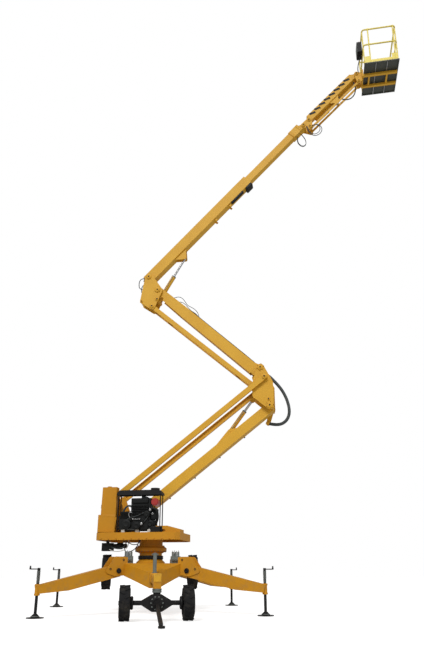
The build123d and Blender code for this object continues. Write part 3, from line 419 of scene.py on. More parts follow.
def steppedBoss(piece):  # radius, height, and neck: share of the radius left there
    radius, height, neck = piece["radius"], piece["height"], piece.get("neck", 0.62)
    pick()
    bpy.ops.mesh.primitive_cylinder_add(vertices=piece.get("sides", 28), radius=radius, depth=height * 0.5,
                                        location=(0, 0, height * 0.25))
    obj = bpy.context.object
    obj.name = piece["name"] + "Model"
    bpy.ops.object.transform_apply(location=True)
    editFaces(obj, topFace(obj))
    bpy.ops.mesh.inset(thickness=radius * (1 - neck))
    bpy.ops.mesh.extrude_region_move(TRANSFORM_OT_translate={"value": (0, 0, height * 0.5)})
    bpy.ops.mesh.inset(thickness=radius * neck * 0.25)
    bpy.ops.mesh.extrude_region_move(TRANSFORM_OT_translate={"value": (0, 0, -height * 0.15)})
    endEdit()
    bevel = obj.modifiers.new("softEdge", "BEVEL")
    bevel.width = min(radius, height) * 0.08
    bevel.segments = 2
    bevel.limit_method = "ANGLE"
    bpy.ops.object.modifier_apply(modifier=bevel.name)
    return obj


def ringBand(piece):  # inner and outer radius, height
    wall = piece["outer"] - piece["inner"]
    pick()
    bpy.ops.mesh.primitive_cylinder_add(vertices=piece.get("sides", 28), radius=piece["outer"],
                                        depth=piece["height"], end_fill_type="NOTHING")
    obj = bpy.context.object
    obj.name = piece["name"] + "Model"
    for kind, setup in (("SOLIDIFY", {"thickness": wall, "offset": -1.0}),
                        ("BEVEL", {"width": wall * 0.3, "segments": 2, "limit_method": "ANGLE"})):
        step = obj.modifiers.new(kind.lower(), kind)
        for key, value in setup.items():
            setattr(step, key, value)
        bpy.ops.object.modifier_apply(modifier=step.name)
    return obj


def settle(obj, body, finish):
    obj.data.materials.clear()
    obj.data.materials.append(mats[finish])
    if obj.type == "MESH":
        pick(obj)
        bpy.ops.object.shade_smooth_by_angle(angle=math.radians(38))
    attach(obj, body)
    return obj


def scatter(model, name, places, body, finish):
    copies = []
    for place in places:
        twin = model.copy()
        twin.data = model.data.copy()
        twin.data.transform(place)
        scene.collection.objects.link(twin)
        copies.append(twin)
    pick(*copies)
    if len(copies) > 1:
        bpy.ops.object.join()
    copies[0].name = name
    return settle(copies[0], body, finish)


def dropModel(model):
    bpy.data.objects.remove(model, do_unlink=True)


def fit(make, piece, places):  # model once, copy to its places, remove the model
    model = make(piece)
    scatter(model, piece["name"], places, piece["body"], piece["finish"])
    dropModel(model)


def pipeRun(name, points, radius, body, finish, closed=False):
    curve = bpy.data.curves.new(name, "CURVE")
    curve.dimensions = "3D"
    curve.bevel_depth = radius
    curve.bevel_resolution = 3
    curve.use_fill_caps = True
    line = curve.splines.new("NURBS")
    line.points.add(len(points) - 1)
    for point, place in zip(line.points, points):
        point.co = (*place, 1)
    line.order_u = 3
    line.use_cyclic_u = closed
    line.use_endpoint_u = not closed
    obj = bpy.data.objects.new(name, curve)
    scene.collection.objects.link(obj)
    return settle(obj, body, finish)


def freeHose(name, route, diameter, body, finish="hoseRubber"):
    hose = pipeRun(name, route, diameter / 2, body, finish)
    return hose


# hoses that hang in loops, on the routes of their CAD tubes; the elbow's has a thicker sleeve over it
hoseRows = (
    {"node": "elbow_hose", "body": "elbow", "diameter": 0.045, "length": 1.597, "sleeve": 0.070,
     "route": planeRoute(elbowPin, (
         (-0.030, 0.806), (0.180, 0.585), (0.340, 0.295), (0.410, -0.005), (0.365, -0.210), (0.230, -0.325),
         (0.070, -0.335), (-0.050, -0.305)), -0.200)},
    {"node": "head_hose", "body": "fly_boom", "diameter": 0.016, "length": 0.805,
     "route": planeRoute(headPin, (
         (-0.168, -0.270), (-0.178, -0.350), (-0.164, -0.450), (-0.098, -0.550), (-0.010, -0.575),
         (0.045, -0.500), (0.032, -0.375), (-0.022, -0.262), (-0.070, -0.187)), 0.0)},
    {"node": "root_hose", "body": "knuckle", "diameter": 0.018, "length": 1.011,
     "route": planeRoute(jibPin, (
         (-0.070, -0.212), (-0.055, -0.318), (0.005, -0.443), (0.110, -0.533), (0.235, -0.503),
         (0.310, -0.398), (0.300, -0.273), (0.215, -0.188), (0.125, -0.188), (0.070, -0.223)), 0.135)},
    {"node": "tip_hose", "body": "jib", "diameter": 0.018, "length": 0.913,
     "route": [jibFrame @ Vector((x, y, 0)) for x, y in (
         (1.045, -0.060), (1.048, -0.165), (1.090, -0.275), (1.180, -0.345), (1.290, -0.355), (1.400, -0.318),
         (1.500, -0.250), (1.585, -0.160), (1.640, -0.060))]},
)
for row in hoseRows:
    if "sleeve" in row:
        pipeRun("elbowHoseSleeve", row["route"], row["sleeve"] / 2, row["body"], "hoseRubber")
    loop = freeHose(row["node"] + "Loop", row["route"], row["diameter"], row["body"])
    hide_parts(row["node"])
# second hose beside three of the loops; columns: name, row it follows, share of its size, diameter, length
twinRows = (("headHoseTwin", 1, 0.95, 0.014, 0.762), ("rootHoseTwin", 2, 0.85, 0.016, 0.855),
            ("tipHoseTwin", 3, 0.94, 0.018, 0.856))
twinShift = spot(0.012, -0.010, 0.018)
for name, first, share, diameter, length in twinRows:
    route = hoseRows[first]["route"]
    twinRoute = [route[0] + (place - route[0]) * share + twinShift for place in route]
    freeHose(name, twinRoute, diameter, hoseRows[first]["body"])
print("stage: hanging hoses", len(hoseRows) + len(twinRows))

# round pin caps on both sides of the boom's pins; columns: body, pin, distance to the side, radius
pinRows = (
    ("turntable", lowerPin, 0.247, 0.060), ("elbow", elbowPin, 0.247, 0.066), ("elbow", midPin, 0.247, 0.062),
    ("elbow", midLinkPin, 0.247, 0.052), ("elbow", linkTop, 0.317, 0.056), ("elbow", midBase, 0.247, 0.032),
    ("upper_bracket", upperPin, 0.152, 0.064), ("upper_bracket", midTop, 0.152, 0.066),
    ("upper_bracket", midLinkTop, 0.152, 0.055), ("upper_bracket", luffBase, 0.152, 0.048),
    ("upper_bracket", levelBase, 0.152, 0.030),
    ("knuckle", headPin, 0.122, 0.050), ("knuckle", jibPin, 0.122, 0.050),
    ("knuckle", jibLinkPin, 0.122, 0.034), ("knuckle", jibBase, 0.122, 0.028),
    ("basket", jibTip, 0.122, 0.050), ("basket", jibLinkTip, 0.122, 0.034),
)
pinEnd = {"name": "pinEnd", "radius": 0.019, "height": 0.010, "sides": 20, "lift": 0.012}
pinEndModel = steppedBoss(pinEnd)
for number, (body, pin, half, radius) in enumerate(pinRows):
    capPlaces = bothSides(spot(pin.x, pin.y), half, boomAlong, boomSide)
    pinCap = {"name": f"pinCap{number:02d}", "radius": radius, "height": 0.018, "body": body,
              "finish": "boomYellow"}
    fit(steppedBoss, pinCap, capPlaces)
    endPlaces = [place @ moved(0, 0, pinEnd["lift"]) for place in capPlaces]
    scatter(pinEndModel, f"pinEnd{number:02d}", endPlaces, body, "chassisBlack")
dropModel(pinEndModel)
# rings of bolts round the main pins; columns: body, pin, distance to the side, radius
bolt = {"name": "bolt", "radius": 0.014, "height": 0.016, "sides": 6, "neck": 0.7}
boltModel = steppedBoss(bolt)
boltRing = {"count": 6, "start": 0.3}
boltRows = (("elbow", elbowPin, 0.241, 0.0819), ("elbow", midPin, 0.241, 0.078),
            ("upper_bracket", upperPin, 0.146, 0.0624), ("upper_bracket", midTop, 0.146, 0.0663),
            ("turntable", lowerPin, 0.241, 0.06864))
for number, (body, pin, half, radius) in enumerate(boltRows):
    places = []
    for dx, dz in ringSpots(boltRing["count"], radius, boltRing["start"]):
        places += bothSides(spot(pin.x + dx, pin.y + dz), half, boomAlong, boomSide)
    scatter(boltModel, f"boltRing{number}", places, body, "boomYellow")
print("stage: pin caps", len(pinRows))

# cylinders: gland bands, oil ports and a steel pipe; columns: name, barrel length, barrel radius, rod radius
ramRows = (("lower", 0.56, 0.045, 0.028), ("mid", 0.48, 0.040, 0.025), ("upper", 0.74, 0.050, 0.024),
           ("level", 0.30, 0.034, 0.014), ("jib", 0.68, 0.028, 0.016))
for name, length, barrel, rod in ramRows:
    start = Vector(jointRows[f"{name}_barrel_swing"]["pos_m"])
    axis = Vector(jointRows[f"{name}_rod_slide"]["axis"])
    body = f"{name}_barrel"
    gland = {"name": f"{name}Gland", "inner": rod + 0.0015, "outer": barrel + 0.004, "height": 0.034,
             "body": body, "finish": "castGrey", "back": 0.012}
    fit(ringBand, gland, [axesFrame(start + axis * (length - gland["back"]), boomSide, axis)])
    if name == "jib":  # lies inside the jib's box, no room for pipes
        continue
    ports = {"name": f"{name}Ports", "radius": 0.014, "height": 0.024, "sides": 6, "neck": 0.75,
             "body": body, "finish": "bareSteel", "seat": 0.003, "along": (0.09, length - 0.06)}
    portSeat = boomSide * (barrel - ports["seat"])
    fit(steppedBoss, ports, [axesFrame(start + axis * along + portSeat, axis, boomSide)
                             for along in ports["along"]])
    oilPipe = {"radius": 0.006, "bends": (  # along the barrel, above its wall
        (0.09, 0.016), (0.105, 0.022), (0.13, 0.010), (length - 0.1, 0.010), (length - 0.075, 0.022),
        (length - 0.06, 0.016))}
    oilRoute = [start + axis * along + boomSide * (barrel + lift) for along, lift in oilPipe["bends"]]
    pipeRun(f"{name}OilPipe", oilRoute, oilPipe["radius"], body, "bareSteel")
print("stage: cylinders dressed")

# outriggers: bracket pins, sleeve bands, thread rings and foot collars, one set per corner
leg = {"hinge": (0.700, 1.036, 0.780), "yaw": 29.0, "slope": 13.0, "reach": 1.525, "pinOut": 0.112,
       "holeOut": 0.105, "holes": ((-0.10, 0.20), (0.17, 0.03)), "bands": (-0.045, 0.115),
       "thread": {"first": 0.15, "pitch": 0.014, "count": 15}, "collarFoot": 0.013,
       "crankOut": 0.158, "crankUp": 0.375}
cornerPieces = (
    {"name": "hingePin", "make": steppedBoss, "radius": 0.048, "height": 0.026,
     "body": "chassis", "finish": "chassisBlack"},
    {"name": "bracketHoles", "make": ringBand, "inner": 0.010, "outer": 0.022, "height": 0.006, "sides": 18,
     "body": "chassis", "finish": "chassisBlack"},
    {"name": "jackThread", "make": ringBand, "inner": 0.0245, "outer": 0.0305, "height": 0.008, "sides": 20,
     "finish": "castGrey"},
    {"name": "jackBands", "make": ringBand, "inner": 0.0415, "outer": 0.050, "height": 0.030, "sides": 24,
     "finish": "deckYellow"},
    {"name": "footCollar", "make": steppedBoss, "radius": 0.075, "height": 0.050, "neck": 0.55,
     "finish": "castGrey"},
    {"name": "crankKnob", "make": steppedBoss, "radius": 0.016, "height": 0.06, "sides": 16, "neck": 0.8,
     "finish": "chassisBlack"},
)
cornerModels = {piece["name"]: piece["make"](piece) for piece in cornerPieces}
cornerRows = (("FrontLeft", "outrigger_front_left", -1, -1), ("FrontRight", "outrigger_front_right", 1, -1),
              ("RearLeft", "outrigger_rear_left", -1, 1), ("RearRight", "outrigger_rear_right", 1, 1))
yaw = math.radians(leg["yaw"])
tipHeight = leg["hinge"][2] - leg["reach"] * math.tan(math.radians(leg["slope"]))
for label, legBody, sideX, sideY in cornerRows:
    out = Vector((sideX * math.cos(yaw), sideY * math.sin(yaw), 0))
    across = out.cross(worldZ)
    hinge = Vector((sideX * leg["hinge"][0], sideY * leg["hinge"][1], leg["hinge"][2]))
    jackX, jackY = hinge.x + out.x * leg["reach"], hinge.y + out.y * leg["reach"]
    crankX, crankY = jackX + out.x * leg["crankOut"], jackY + out.y * leg["crankOut"]
    cornerPlaces = {
        "hingePin": bothSides(hinge, leg["pinOut"], out, across),
        "bracketHoles": [place for along, rise in leg["holes"] for place in bothSides(
            hinge + out * along + Vector((0, 0, rise)), leg["holeOut"], out, across)],
        "jackThread": [moved(jackX, jackY, tipHeight + rise) for rise in rowOf(leg["thread"])],
        "jackBands": [moved(jackX, jackY, tipHeight + rise) for rise in leg["bands"]],
        "footCollar": [moved(jackX, jackY, leg["collarFoot"])],
        "crankKnob": [moved(crankX, crankY, tipHeight + leg["crankUp"])]}
    for piece in cornerPieces:
        name, body = piece["name"], piece.get("body", legBody)
        scatter(cornerModels[name], name + label, cornerPlaces[name], body, piece["finish"])
for model in cornerModels.values():
    dropModel(model)
print("stage: outriggers dressed")

# chassis: ring bolts, differential cover, king post band, valve levers and neck block
slewRing = {"count": 28, "radius": 0.315, "height": 1.172}
scatter(boltModel, "slewRingBolts", [axesFrame(Vector((x, y, slewRing["height"])), worldX, -worldZ)
                                     for x, y in ringSpots(slewRing["count"], slewRing["radius"])],
        "chassis", "castGrey")
collar = {"name": "pedestalCollar", "inner": 0.232, "outer": 0.262, "height": 0.075, "sides": 48,
          "body": "chassis", "finish": "chassisBlack", "middle": 1.045}
fit(ringBand, collar, [moved(0, 0, collar["middle"])])
axleY, axleZ = jointRows["steering"]["pos_m"][1], jointRows["wheel_front_left_spin"]["pos_m"][2]
diffCover = {"name": "differentialCover", "radius": 0.112, "height": 0.050, "sides": 32, "neck": 0.7,
             "body": "front_axle", "finish": "chassisBlack", "front": 0.083,
             "bolts": 10, "boltRadius": 0.098, "boltFront": 0.107}
coverPlace = axesFrame(Vector((0, axleY - diffCover["front"], axleZ)), worldX, frontOut)
fit(steppedBoss, diffCover, [coverPlace])
scatter(boltModel, "differentialBolts",
        [axesFrame(Vector((x, axleY - diffCover["boltFront"], axleZ + z)), worldX, frontOut)
         for x, z in ringSpots(diffCover["bolts"], diffCover["boltRadius"])], "front_axle", "castGrey")
kingBands = {"name": "kingPostBands", "inner": 0.062, "outer": 0.078, "height": 0.030, "sides": 32,
             "body": "front_axle", "finish": "castGrey", "heights": (0.452, 0.484)}
fit(ringBand, kingBands, [moved(0, axleY, height) for height in kingBands["heights"]])
brakeDrums = {"name": "frontBrakeDrums", "inner": 0.040, "outer": 0.105, "height": 0.050, "sides": 32,
              "body": "front_axle", "finish": "chassisBlack", "across": (-0.405, 0.405)}
fit(ringBand, brakeDrums, [axesFrame(Vector((x, axleY, axleZ)), worldY, worldX)
                           for x in brakeDrums["across"]])
neckBlock = {"name": "neckBlock", "size": (0.176, 0.25, 0.16), "press": (0.02, 0.008, 0.012),
             "body": "chassis", "finish": "deckYellow", "place": (0, -1.815, 0.66)}
fit(pressedPanel, neckBlock, [moved(*neckBlock["place"])])
# the neck plate takes the lighter boom yellow, a patch of painted light on the gooseneck's deck yellow
neckPlate = {"name": "neckPlate", "size": (0.126, 0.13, 0.014), "press": (0.012, 0.004, 0.004),
             "body": "chassis", "finish": "boomYellow", "place": (0, -2.778, 0.668)}
fit(pressedPanel, neckPlate, [axesFrame(Vector(neckPlate["place"]), worldX, frontOut)])
valves = {"across": (-0.47, 0.47), "leverFoot": (-0.585, 1.06), "capFoot": (-0.69, 0.99),
          "caps": (-0.06, 0.0, 0.06), "levers": (  # shift and tilt of each lever
              (-0.06, 0.5), (-0.02, 0.3), (0.02, 0.55), (0.06, 0.4))}
valveLevers = {"name": "valveLevers", "radius": 0.009, "height": 0.12, "sides": 12, "neck": 0.6,
               "body": "chassis", "finish": "bareSteel"}
fit(steppedBoss, valveLevers, [moved(x + dx, *valves["leverFoot"]) @ turned(tilt, "X")
                               for x in valves["across"] for dx, tilt in valves["levers"]])
valveCaps = {"name": "valveCaps", "radius": 0.030, "height": 0.05, "sides": 20, "body": "chassis",
             "finish": "castGrey"}
fit(steppedBoss, valveCaps, [axesFrame(Vector((x + dx, *valves["capFoot"])), worldX, frontOut)
                             for x in valves["across"] for dx in valves["caps"]])
wheelNut = {"name": "wheelNut", "radius": 0.012, "height": 0.03, "sides": 6, "neck": 0.7,
            "count": 8, "ring": 0.1, "outward": 0.006}
hubCap = {"name": "hubCap", "radius": 0.05, "height": 0.06, "neck": 0.7, "outward": 0.04}
nutModel, hubModel = steppedBoss(wheelNut), steppedBoss(hubCap)
for name in ("front_left", "front_right", "rear_left", "rear_right"):
    hub = Vector(jointRows[f"wheel_{name}_spin"]["pos_m"])
    outX = Vector((math.copysign(1, hub.x), 0, 0))
    nutPlaces = [axesFrame(hub + outX * wheelNut["outward"] + Vector((0, y, z)), worldY, outX)
                 for y, z in ringSpots(wheelNut["count"], wheelNut["ring"])]
    scatter(nutModel, f"wheelNuts_{name}", nutPlaces, f"wheel_{name}", "bareSteel")
    hubPlace = axesFrame(hub + outX * hubCap["outward"], worldY, outX)
    scatter(hubModel, f"hubCap_{name}", [hubPlace], f"wheel_{name}", "rimBlack")
dropModel(nutModel)
dropModel(hubModel)
print("stage: chassis dressed")

# turntable: cabinet door and skirt
cabinet = {"end": (-0.971, 2.05, 0.41), "lean": 0.028}
cabinetEnd = axesFrame(spot(*cabinet["end"]), boomSide, worldZ * cabinet["lean"] - boomAlong)
cabinetDoor = {"name": "cabinetDoor", "size": (0.13, 0.70, 0.014), "press": (0.014, 0.006, 0.005),
               "body": "turntable", "finish": "deckYellow"}
fit(pressedPanel, cabinetDoor, [cabinetEnd])
skirt = {"name": "cabinetSkirt", "size": (0.385, 0.365, 0.018), "press": (0.010, 0.003, 0.006),
         "body": "turntable", "finish": "deckYellow", "lean": 6.5, "place": (-0.836, 1.715, 0.500)}


def leaningSkirt(piece):
    obj = pressedPanel(piece)
    foot = (-piece["size"][0] / 2, -piece["size"][1] / 2, 0)
    editFaces(obj, lambda face: face.normal.x < -0.4)  # left edge leans in with the cabinet
    bpy.ops.transform.rotate(value=math.radians(piece["lean"]), orient_axis="Z", center_override=foot)
    endEdit()
    return obj


fit(leaningSkirt, skirt, [deckFrame @ moved(*skirt["place"])])
hinges = {"name": "cabinetHinges", "radius": 0.009, "height": 0.07, "sides": 14, "neck": 0.8,
          "body": "turntable", "finish": "chassisBlack", "across": -0.058, "out": 0.010,
          "rises": (-0.28, 0.22)}
fit(steppedBoss, hinges,
    [cabinetEnd @ moved(hinges["across"], rise, hinges["out"]) @ turned(-quarterTurn, "X")
     for rise in hinges["rises"]])
latch = {"name": "cabinetLatch", "size": (0.03, 0.075, 0.022), "press": (0.005, 0.004, 0.004),
         "body": "turntable", "finish": "chassisBlack", "place": (0.042, 0.02, 0.008)}
fit(pressedPanel, latch, [cabinetEnd @ moved(*latch["place"])])

# engine: fins, covers and pulleys on the side towards the camera; places are reach, height, side
onEngine = {"body": "turntable", "finish": "engineDark"}
headFins = {**onEngine, "name": "headFins", "size": (0.36, 0.012, 0.05), "press": (0.003, 0.002, 0.003),
            "reach": -0.11, "first": 1.90, "pitch": 0.034, "count": 6, "side": 0.53}
fit(pressedPanel, headFins, [deckFrame @ moved(headFins["reach"], height, headFins["side"])
                             for height in rowOf(headFins)])
rockerCover = {**onEngine, "name": "rockerCover", "size": (0.34, 0.085, 0.05),
               "press": (0.012, 0.006, 0.012), "place": (-0.11, 2.165, 0.53)}
fit(pressedPanel, rockerCover, [deckFrame @ moved(*rockerCover["place"])])
louvres = {**onEngine, "name": "radiatorLouvres", "size": (0.20, 0.014, 0.03), "tilt": 0.5,
           "press": (0.003, 0.002, 0.003), "reach": -0.44, "first": 1.83, "pitch": 0.026, "count": 5,
           "side": 0.52}
fit(pressedPanel, louvres,
    [deckFrame @ moved(louvres["reach"], height, louvres["side"]) @ turned(louvres["tilt"], "X")
     for height in rowOf(louvres)])
engineBosses = (  # name, place, radius, height
    ("alternator", (0.105, 1.70, 0.478), 0.075, 0.06), ("starterMotor", (-0.30, 1.80, 0.518), 0.045, 0.05),
    ("oilFilter", (-0.05, 1.76, 0.518), 0.042, 0.065), ("fanPulley", (-0.39, 1.70, 0.558), 0.095, 0.020),
    ("crankPulley", (-0.17, 1.66, 0.558), 0.075, 0.020), ("idlerPulley", (0.04, 1.895, 0.558), 0.060, 0.020))
for name, place, radius, height in engineBosses:
    boss = {**onEngine, "name": name, "radius": radius, "height": height}
    fit(steppedBoss, boss, [deckFrame @ moved(*place)])
feet = {"name": "engineFeet", "size": (0.075, 0.06, 0.05), "press": (0.008, 0.004, 0.006),
        "body": "turntable", "finish": "paleHose", "reaches": (-0.47, -0.17, 0.09), "height": 1.563,
        "side": 0.49}
fit(pressedPanel, feet, [deckFrame @ moved(reach, feet["height"], feet["side"])
                         for reach in feet["reaches"]])
fanBelt = {"radius": 0.007, "side": 0.548, "loop": (
    (-0.485, 1.72), (-0.39, 1.80), (-0.10, 1.88), (0.03, 1.965), (0.105, 1.90), (0.04, 1.80), (-0.10, 1.66),
    (-0.17, 1.58), (-0.30, 1.59), (-0.42, 1.60))}
beltRoute = [spot(reach, height, fanBelt["side"]) for reach, height in fanBelt["loop"]]
pipeRun("fanBelt", beltRoute, fanBelt["radius"], "turntable", "hoseRubber", closed=True)
engineRuns = (  # name, radius, finish, bends
    ("exhaustPipe", 0.028, "engineDark", (
        (0.06, 2.02, 0.50), (0.16, 2.02, 0.52), (0.245, 1.98, 0.52), (0.262, 1.86, 0.50), (0.24, 1.74, 0.46),
        (0.16, 1.66, 0.44))),
    ("coolantHose", 0.020, "hoseRubber", (
        (-0.50, 1.93, 0.46), (-0.46, 2.02, 0.49), (-0.38, 2.08, 0.50), (-0.30, 2.06, 0.50),
        (-0.27, 2.0, 0.49))),
    ("fuelPipe", 0.008, "bareSteel", (
        (-0.27, 1.92, 0.535), (-0.33, 1.95, 0.54), (-0.36, 1.88, 0.54), (-0.28, 1.78, 0.545),
        (-0.10, 1.80, 0.545))),
    ("intakeHose", 0.030, "hoseRubber", (
        (0.12, 2.14, 0.44), (0.06, 2.20, 0.46), (-0.02, 2.245, 0.46), (-0.10, 2.24, 0.45))),
)
for name, radius, finish, points in engineRuns:
    pipeRun(name, [spot(*point) for point in points], radius, "turntable", finish)

# hoses under the deck, from the pump up to the deck plate
pumpRuns = (  # name, diameter, length, finish, route
    ("pumpHoseA", 0.018, 0.632, "hoseRubber", (
        (-0.50, 1.315, 0.38), (-0.49, 1.35, 0.40), (-0.44, 1.365, 0.43), (-0.37, 1.34, 0.45),
        (-0.30, 1.30, 0.44), (-0.23, 1.29, 0.39), (-0.17, 1.32, 0.33), (-0.14, 1.41, 0.28),
        (-0.13, 1.515, 0.27))),
    ("pumpHoseB", 0.018, 0.645, "hoseRubber", (
        (-0.46, 1.225, 0.38), (-0.45, 1.18, 0.40), (-0.40, 1.15, 0.43), (-0.33, 1.15, 0.44),
        (-0.26, 1.18, 0.42), (-0.21, 1.24, 0.37), (-0.18, 1.33, 0.32), (-0.17, 1.42, 0.29),
        (-0.17, 1.515, 0.28))),
    ("pumpHoseC", 0.022, 0.577, "hoseRubber", (
        (-0.72, 1.25, 0.445), (-0.68, 1.235, 0.475), (-0.61, 1.215, 0.49), (-0.53, 1.215, 0.49),
        (-0.46, 1.235, 0.47), (-0.42, 1.29, 0.44), (-0.41, 1.38, 0.42), (-0.41, 1.515, 0.41))),
    ("pumpHoseD", 0.016, 0.710, "paleHose", (
        (-0.76, 1.20, 0.445), (-0.71, 1.175, 0.48), (-0.63, 1.16, 0.50), (-0.53, 1.16, 0.50),
        (-0.44, 1.18, 0.48), (-0.38, 1.23, 0.45), (-0.36, 1.33, 0.42), (-0.36, 1.515, 0.41))),
)
for name, diameter, length, finish, points in pumpRuns:
    freeHose(name, [spot(*point) for point in points], diameter, "turntable", finish=finish)
skirtBolts = {"first": -0.9, "pitch": 0.16, "count": 10, "height": 1.405, "side": 0.601}
scatter(boltModel, "skirtBolts",
        [axesFrame(spot(reach, skirtBolts["height"], skirtBolts["side"]), boomAlong, boomSide)
         for reach in rowOf(skirtBolts)], "turntable", "deckYellow")

# boxes on the deck and below it
deckBoxes = (
    {**onEngine, "name": "pumpLid", "size": (0.20, 0.13, 0.014), "press": (0.012, 0.005, 0.005),
     "place": (-0.825, 1.25, 0.443)},
    {"name": "batteryBox", "size": (0.27, 0.12, 0.15), "press": (0.016, 0.006, 0.010),
     "body": "turntable", "finish": "chassisBlack", "place": (0.235, 1.588, 0.44)},
    {**onEngine, "name": "oilSump", "size": (0.56, 0.15, 0.10), "press": (0.02, 0.008, 0.014),
     "place": (-0.17, 1.63, 0.46)},
    {**onEngine, "name": "coolerBox", "size": (0.16, 0.22, 0.12), "press": (0.016, 0.008, 0.014),
     "place": (0.16, 1.90, 0.40)},
)
for box in deckBoxes:
    fit(pressedPanel, box, [deckFrame @ moved(*box["place"])])
plugs = {"name": "silverPlugs", "radius": 0.026, "height": 0.02, "sides": 20, "body": "turntable",
         "finish": "bareSteel", "places": ((0.10, 1.98, 0.525), (0.135, 1.91, 0.462), (-0.06, 1.70, 0.582))}
fit(steppedBoss, plugs, [deckFrame @ moved(*place) for place in plugs["places"]])
ribs = {"name": "canopyRibs", "size": (0.80, 0.03, 0.012), "press": (0.008, 0.003, 0.004),
        "body": "turntable", "finish": "chassisBlack", "reach": -0.16, "height": 2.386,
        "sides": (0.37, 0.52)}
fit(pressedPanel, ribs,
    [axesFrame(spot(ribs["reach"], ribs["height"], side), boomAlong, worldZ)
     for side in ribs["sides"]])
print("stage: turntable dressed")

# boom: hose guides and end blocks under the upper boom
guides = {"name": "hoseGuides", "size": (0.05, 0.085, 0.012), "press": (0.01, 0.004, 0.004),
          "body": "upper_boom", "finish": "boomYellow", "along": (2.20, 2.72), "rise": -0.155,
          "sides": (0.07, -0.07)}
fit(pressedPanel, guides, [upperFrame @ moved(along, guides["rise"], side)
                           for along in guides["along"] for side in guides["sides"]])
upperBlocks = (
    {"name": "hoseRunner", "size": (0.42, 0.07, 0.05), "press": (0.008, 0.005, 0.008),
     "body": "upper_boom", "finish": "chassisBlack", "place": (3.00, -0.148, 0.06)},
    {"name": "wearPadBlock", "size": (0.20, 0.19, 0.075), "press": (0.014, 0.006, 0.012),
     "body": "upper_boom", "finish": "chassisBlack", "place": (3.415, -0.157, 0.0)},
)
for block in upperBlocks:
    fit(pressedPanel, block, [upperFrame @ moved(*block["place"]) @ turned(quarterTurn, "X")])

# pipes in clips along the middle and lower booms; the middle boom's tube sags away from the line of its pins
midSag = {"drop": 0.096, "run": 3.25}
midTube = midFrame @ turned(-math.atan(midSag["drop"] / midSag["run"]), "Z")
clip = {"name": "pipeClip", "size": (0.03, 0.11, 0.02), "press": (0.005, 0.003, 0.004)}
midPipes = {"clips": (1.1, 1.7, 2.3, 2.9), "clipRise": 0.133, "sides": (-0.03, 0.0, 0.03), "radius": 0.010,
            "bends": (  # along, rise
                (0.95, 0.137), (1.1, 0.142), (1.7, 0.139), (2.3, 0.142), (2.9, 0.142), (3.08, 0.137))}
lowerPipes = {"clips": (0.5, 1.2, 1.9, 2.6, 3.3), "clipRise": -0.07, "clipSide": -0.118,
              "rises": (-0.085, -0.06), "radius": 0.009, "bends": (  # along, side
                  (0.25, -0.119), (0.5, -0.122), (1.2, -0.120), (1.9, -0.122), (2.6, -0.120), (3.3, -0.122),
                  (3.6, -0.119))}
clipModel = pressedPanel(clip)
scatter(clipModel, "midPipeClips",
        [midTube @ moved(along, midPipes["clipRise"], 0.0) @ turned(-quarterTurn, "X")
         for along in midPipes["clips"]], "mid_boom", "chassisBlack")
scatter(clipModel, "lowerPipeClips",
        [lowerFrame @ moved(along, lowerPipes["clipRise"], lowerPipes["clipSide"])
         for along in lowerPipes["clips"]], "lower_boom", "chassisBlack")
dropModel(clipModel)
for number, side in enumerate(midPipes["sides"]):
    route = [midTube @ Vector((along, rise, side)) for along, rise in midPipes["bends"]]
    pipeRun(f"midPipe{number}", route, midPipes["radius"], "mid_boom", "chassisBlack")
for number, rise in enumerate(lowerPipes["rises"]):
    route = [lowerFrame @ Vector((along, rise, side)) for along, side in lowerPipes["bends"]]
    pipeRun(f"lowerPipe{number}", route, lowerPipes["radius"], "lower_boom", "chassisBlack")

# loose hoses that arch over the middle boom and beside the upper bracket
looseRuns = (  # name, diameter, length, body, route
    ("midLoopNear", 0.014, 0.904, "mid_boom", [midTube @ Vector((along, rise, 0.086)) for along, rise in (
        (0.45, 0.118), (0.50, 0.20), (0.60, 0.235), (0.72, 0.215), (0.84, 0.175), (0.96, 0.205),
        (1.08, 0.215), (1.20, 0.185), (1.28, 0.124))]),
    ("midLoopFar", 0.014, 0.778, "mid_boom", [midTube @ Vector((along, rise, -0.086)) for along, rise in (
        (0.50, 0.118), (0.56, 0.18), (0.68, 0.205), (0.82, 0.175), (0.94, 0.165), (1.06, 0.185),
        (1.18, 0.165), (1.24, 0.124))]),
    ("bracketLoopNear", 0.020, 0.487, "upper_bracket", planeRoute(midTop, (
        (-0.30, 0.33), (-0.40, 0.35), (-0.465, 0.28), (-0.475, 0.17), (-0.455, 0.07), (-0.36, 0.03)), 0.125)),
    ("bracketLoopFar", 0.020, 0.489, "upper_bracket", planeRoute(midTop, (
        (-0.30, 0.31), (-0.41, 0.32), (-0.475, 0.25), (-0.485, 0.14), (-0.46, 0.05), (-0.36, 0.02)), -0.125)),
)
for name, diameter, length, body, route in looseRuns:
    freeHose(name, route, diameter, body)
tails = {"name": "tailFittings", "radius": 0.026, "height": 0.07, "sides": 20, "body": "upper_boom",
         "finish": "chassisBlack", "along": -0.088, "rises": (0.06, 0.0), "side": 0.06}
tailOut = upperFrame.to_3x3() @ -worldX
fit(steppedBoss, tails,
    [axesFrame(upperFrame @ Vector((tails["along"], rise, tails["side"])), boomSide, tailOut)
     for rise in tails["rises"]])
stripes = {"name": "jibStripes", "size": (0.165, 0.062, 0.005), "press": (0.006, 0.002, 0.0015),
           "body": "jib", "finish": "chassisBlack", "first": 0.24, "pitch": 0.185, "count": 8,
           "rise": 0.098, "side": 0.066, "slant": -26}
fit(pressedPanel, stripes,
    [jibFrame @ moved(along, stripes["rise"], stripes["side"])
     @ turned(math.radians(stripes["slant"]), "Z") for along in rowOf(stripes)])
collars = {"name": "headCollars", "size": (0.05, 0.20, 0.012), "press": (0.008, 0.004, 0.003),
           "body": "fly_boom", "finish": "boomYellow", "along": (5.21, 5.45), "side": 0.094}
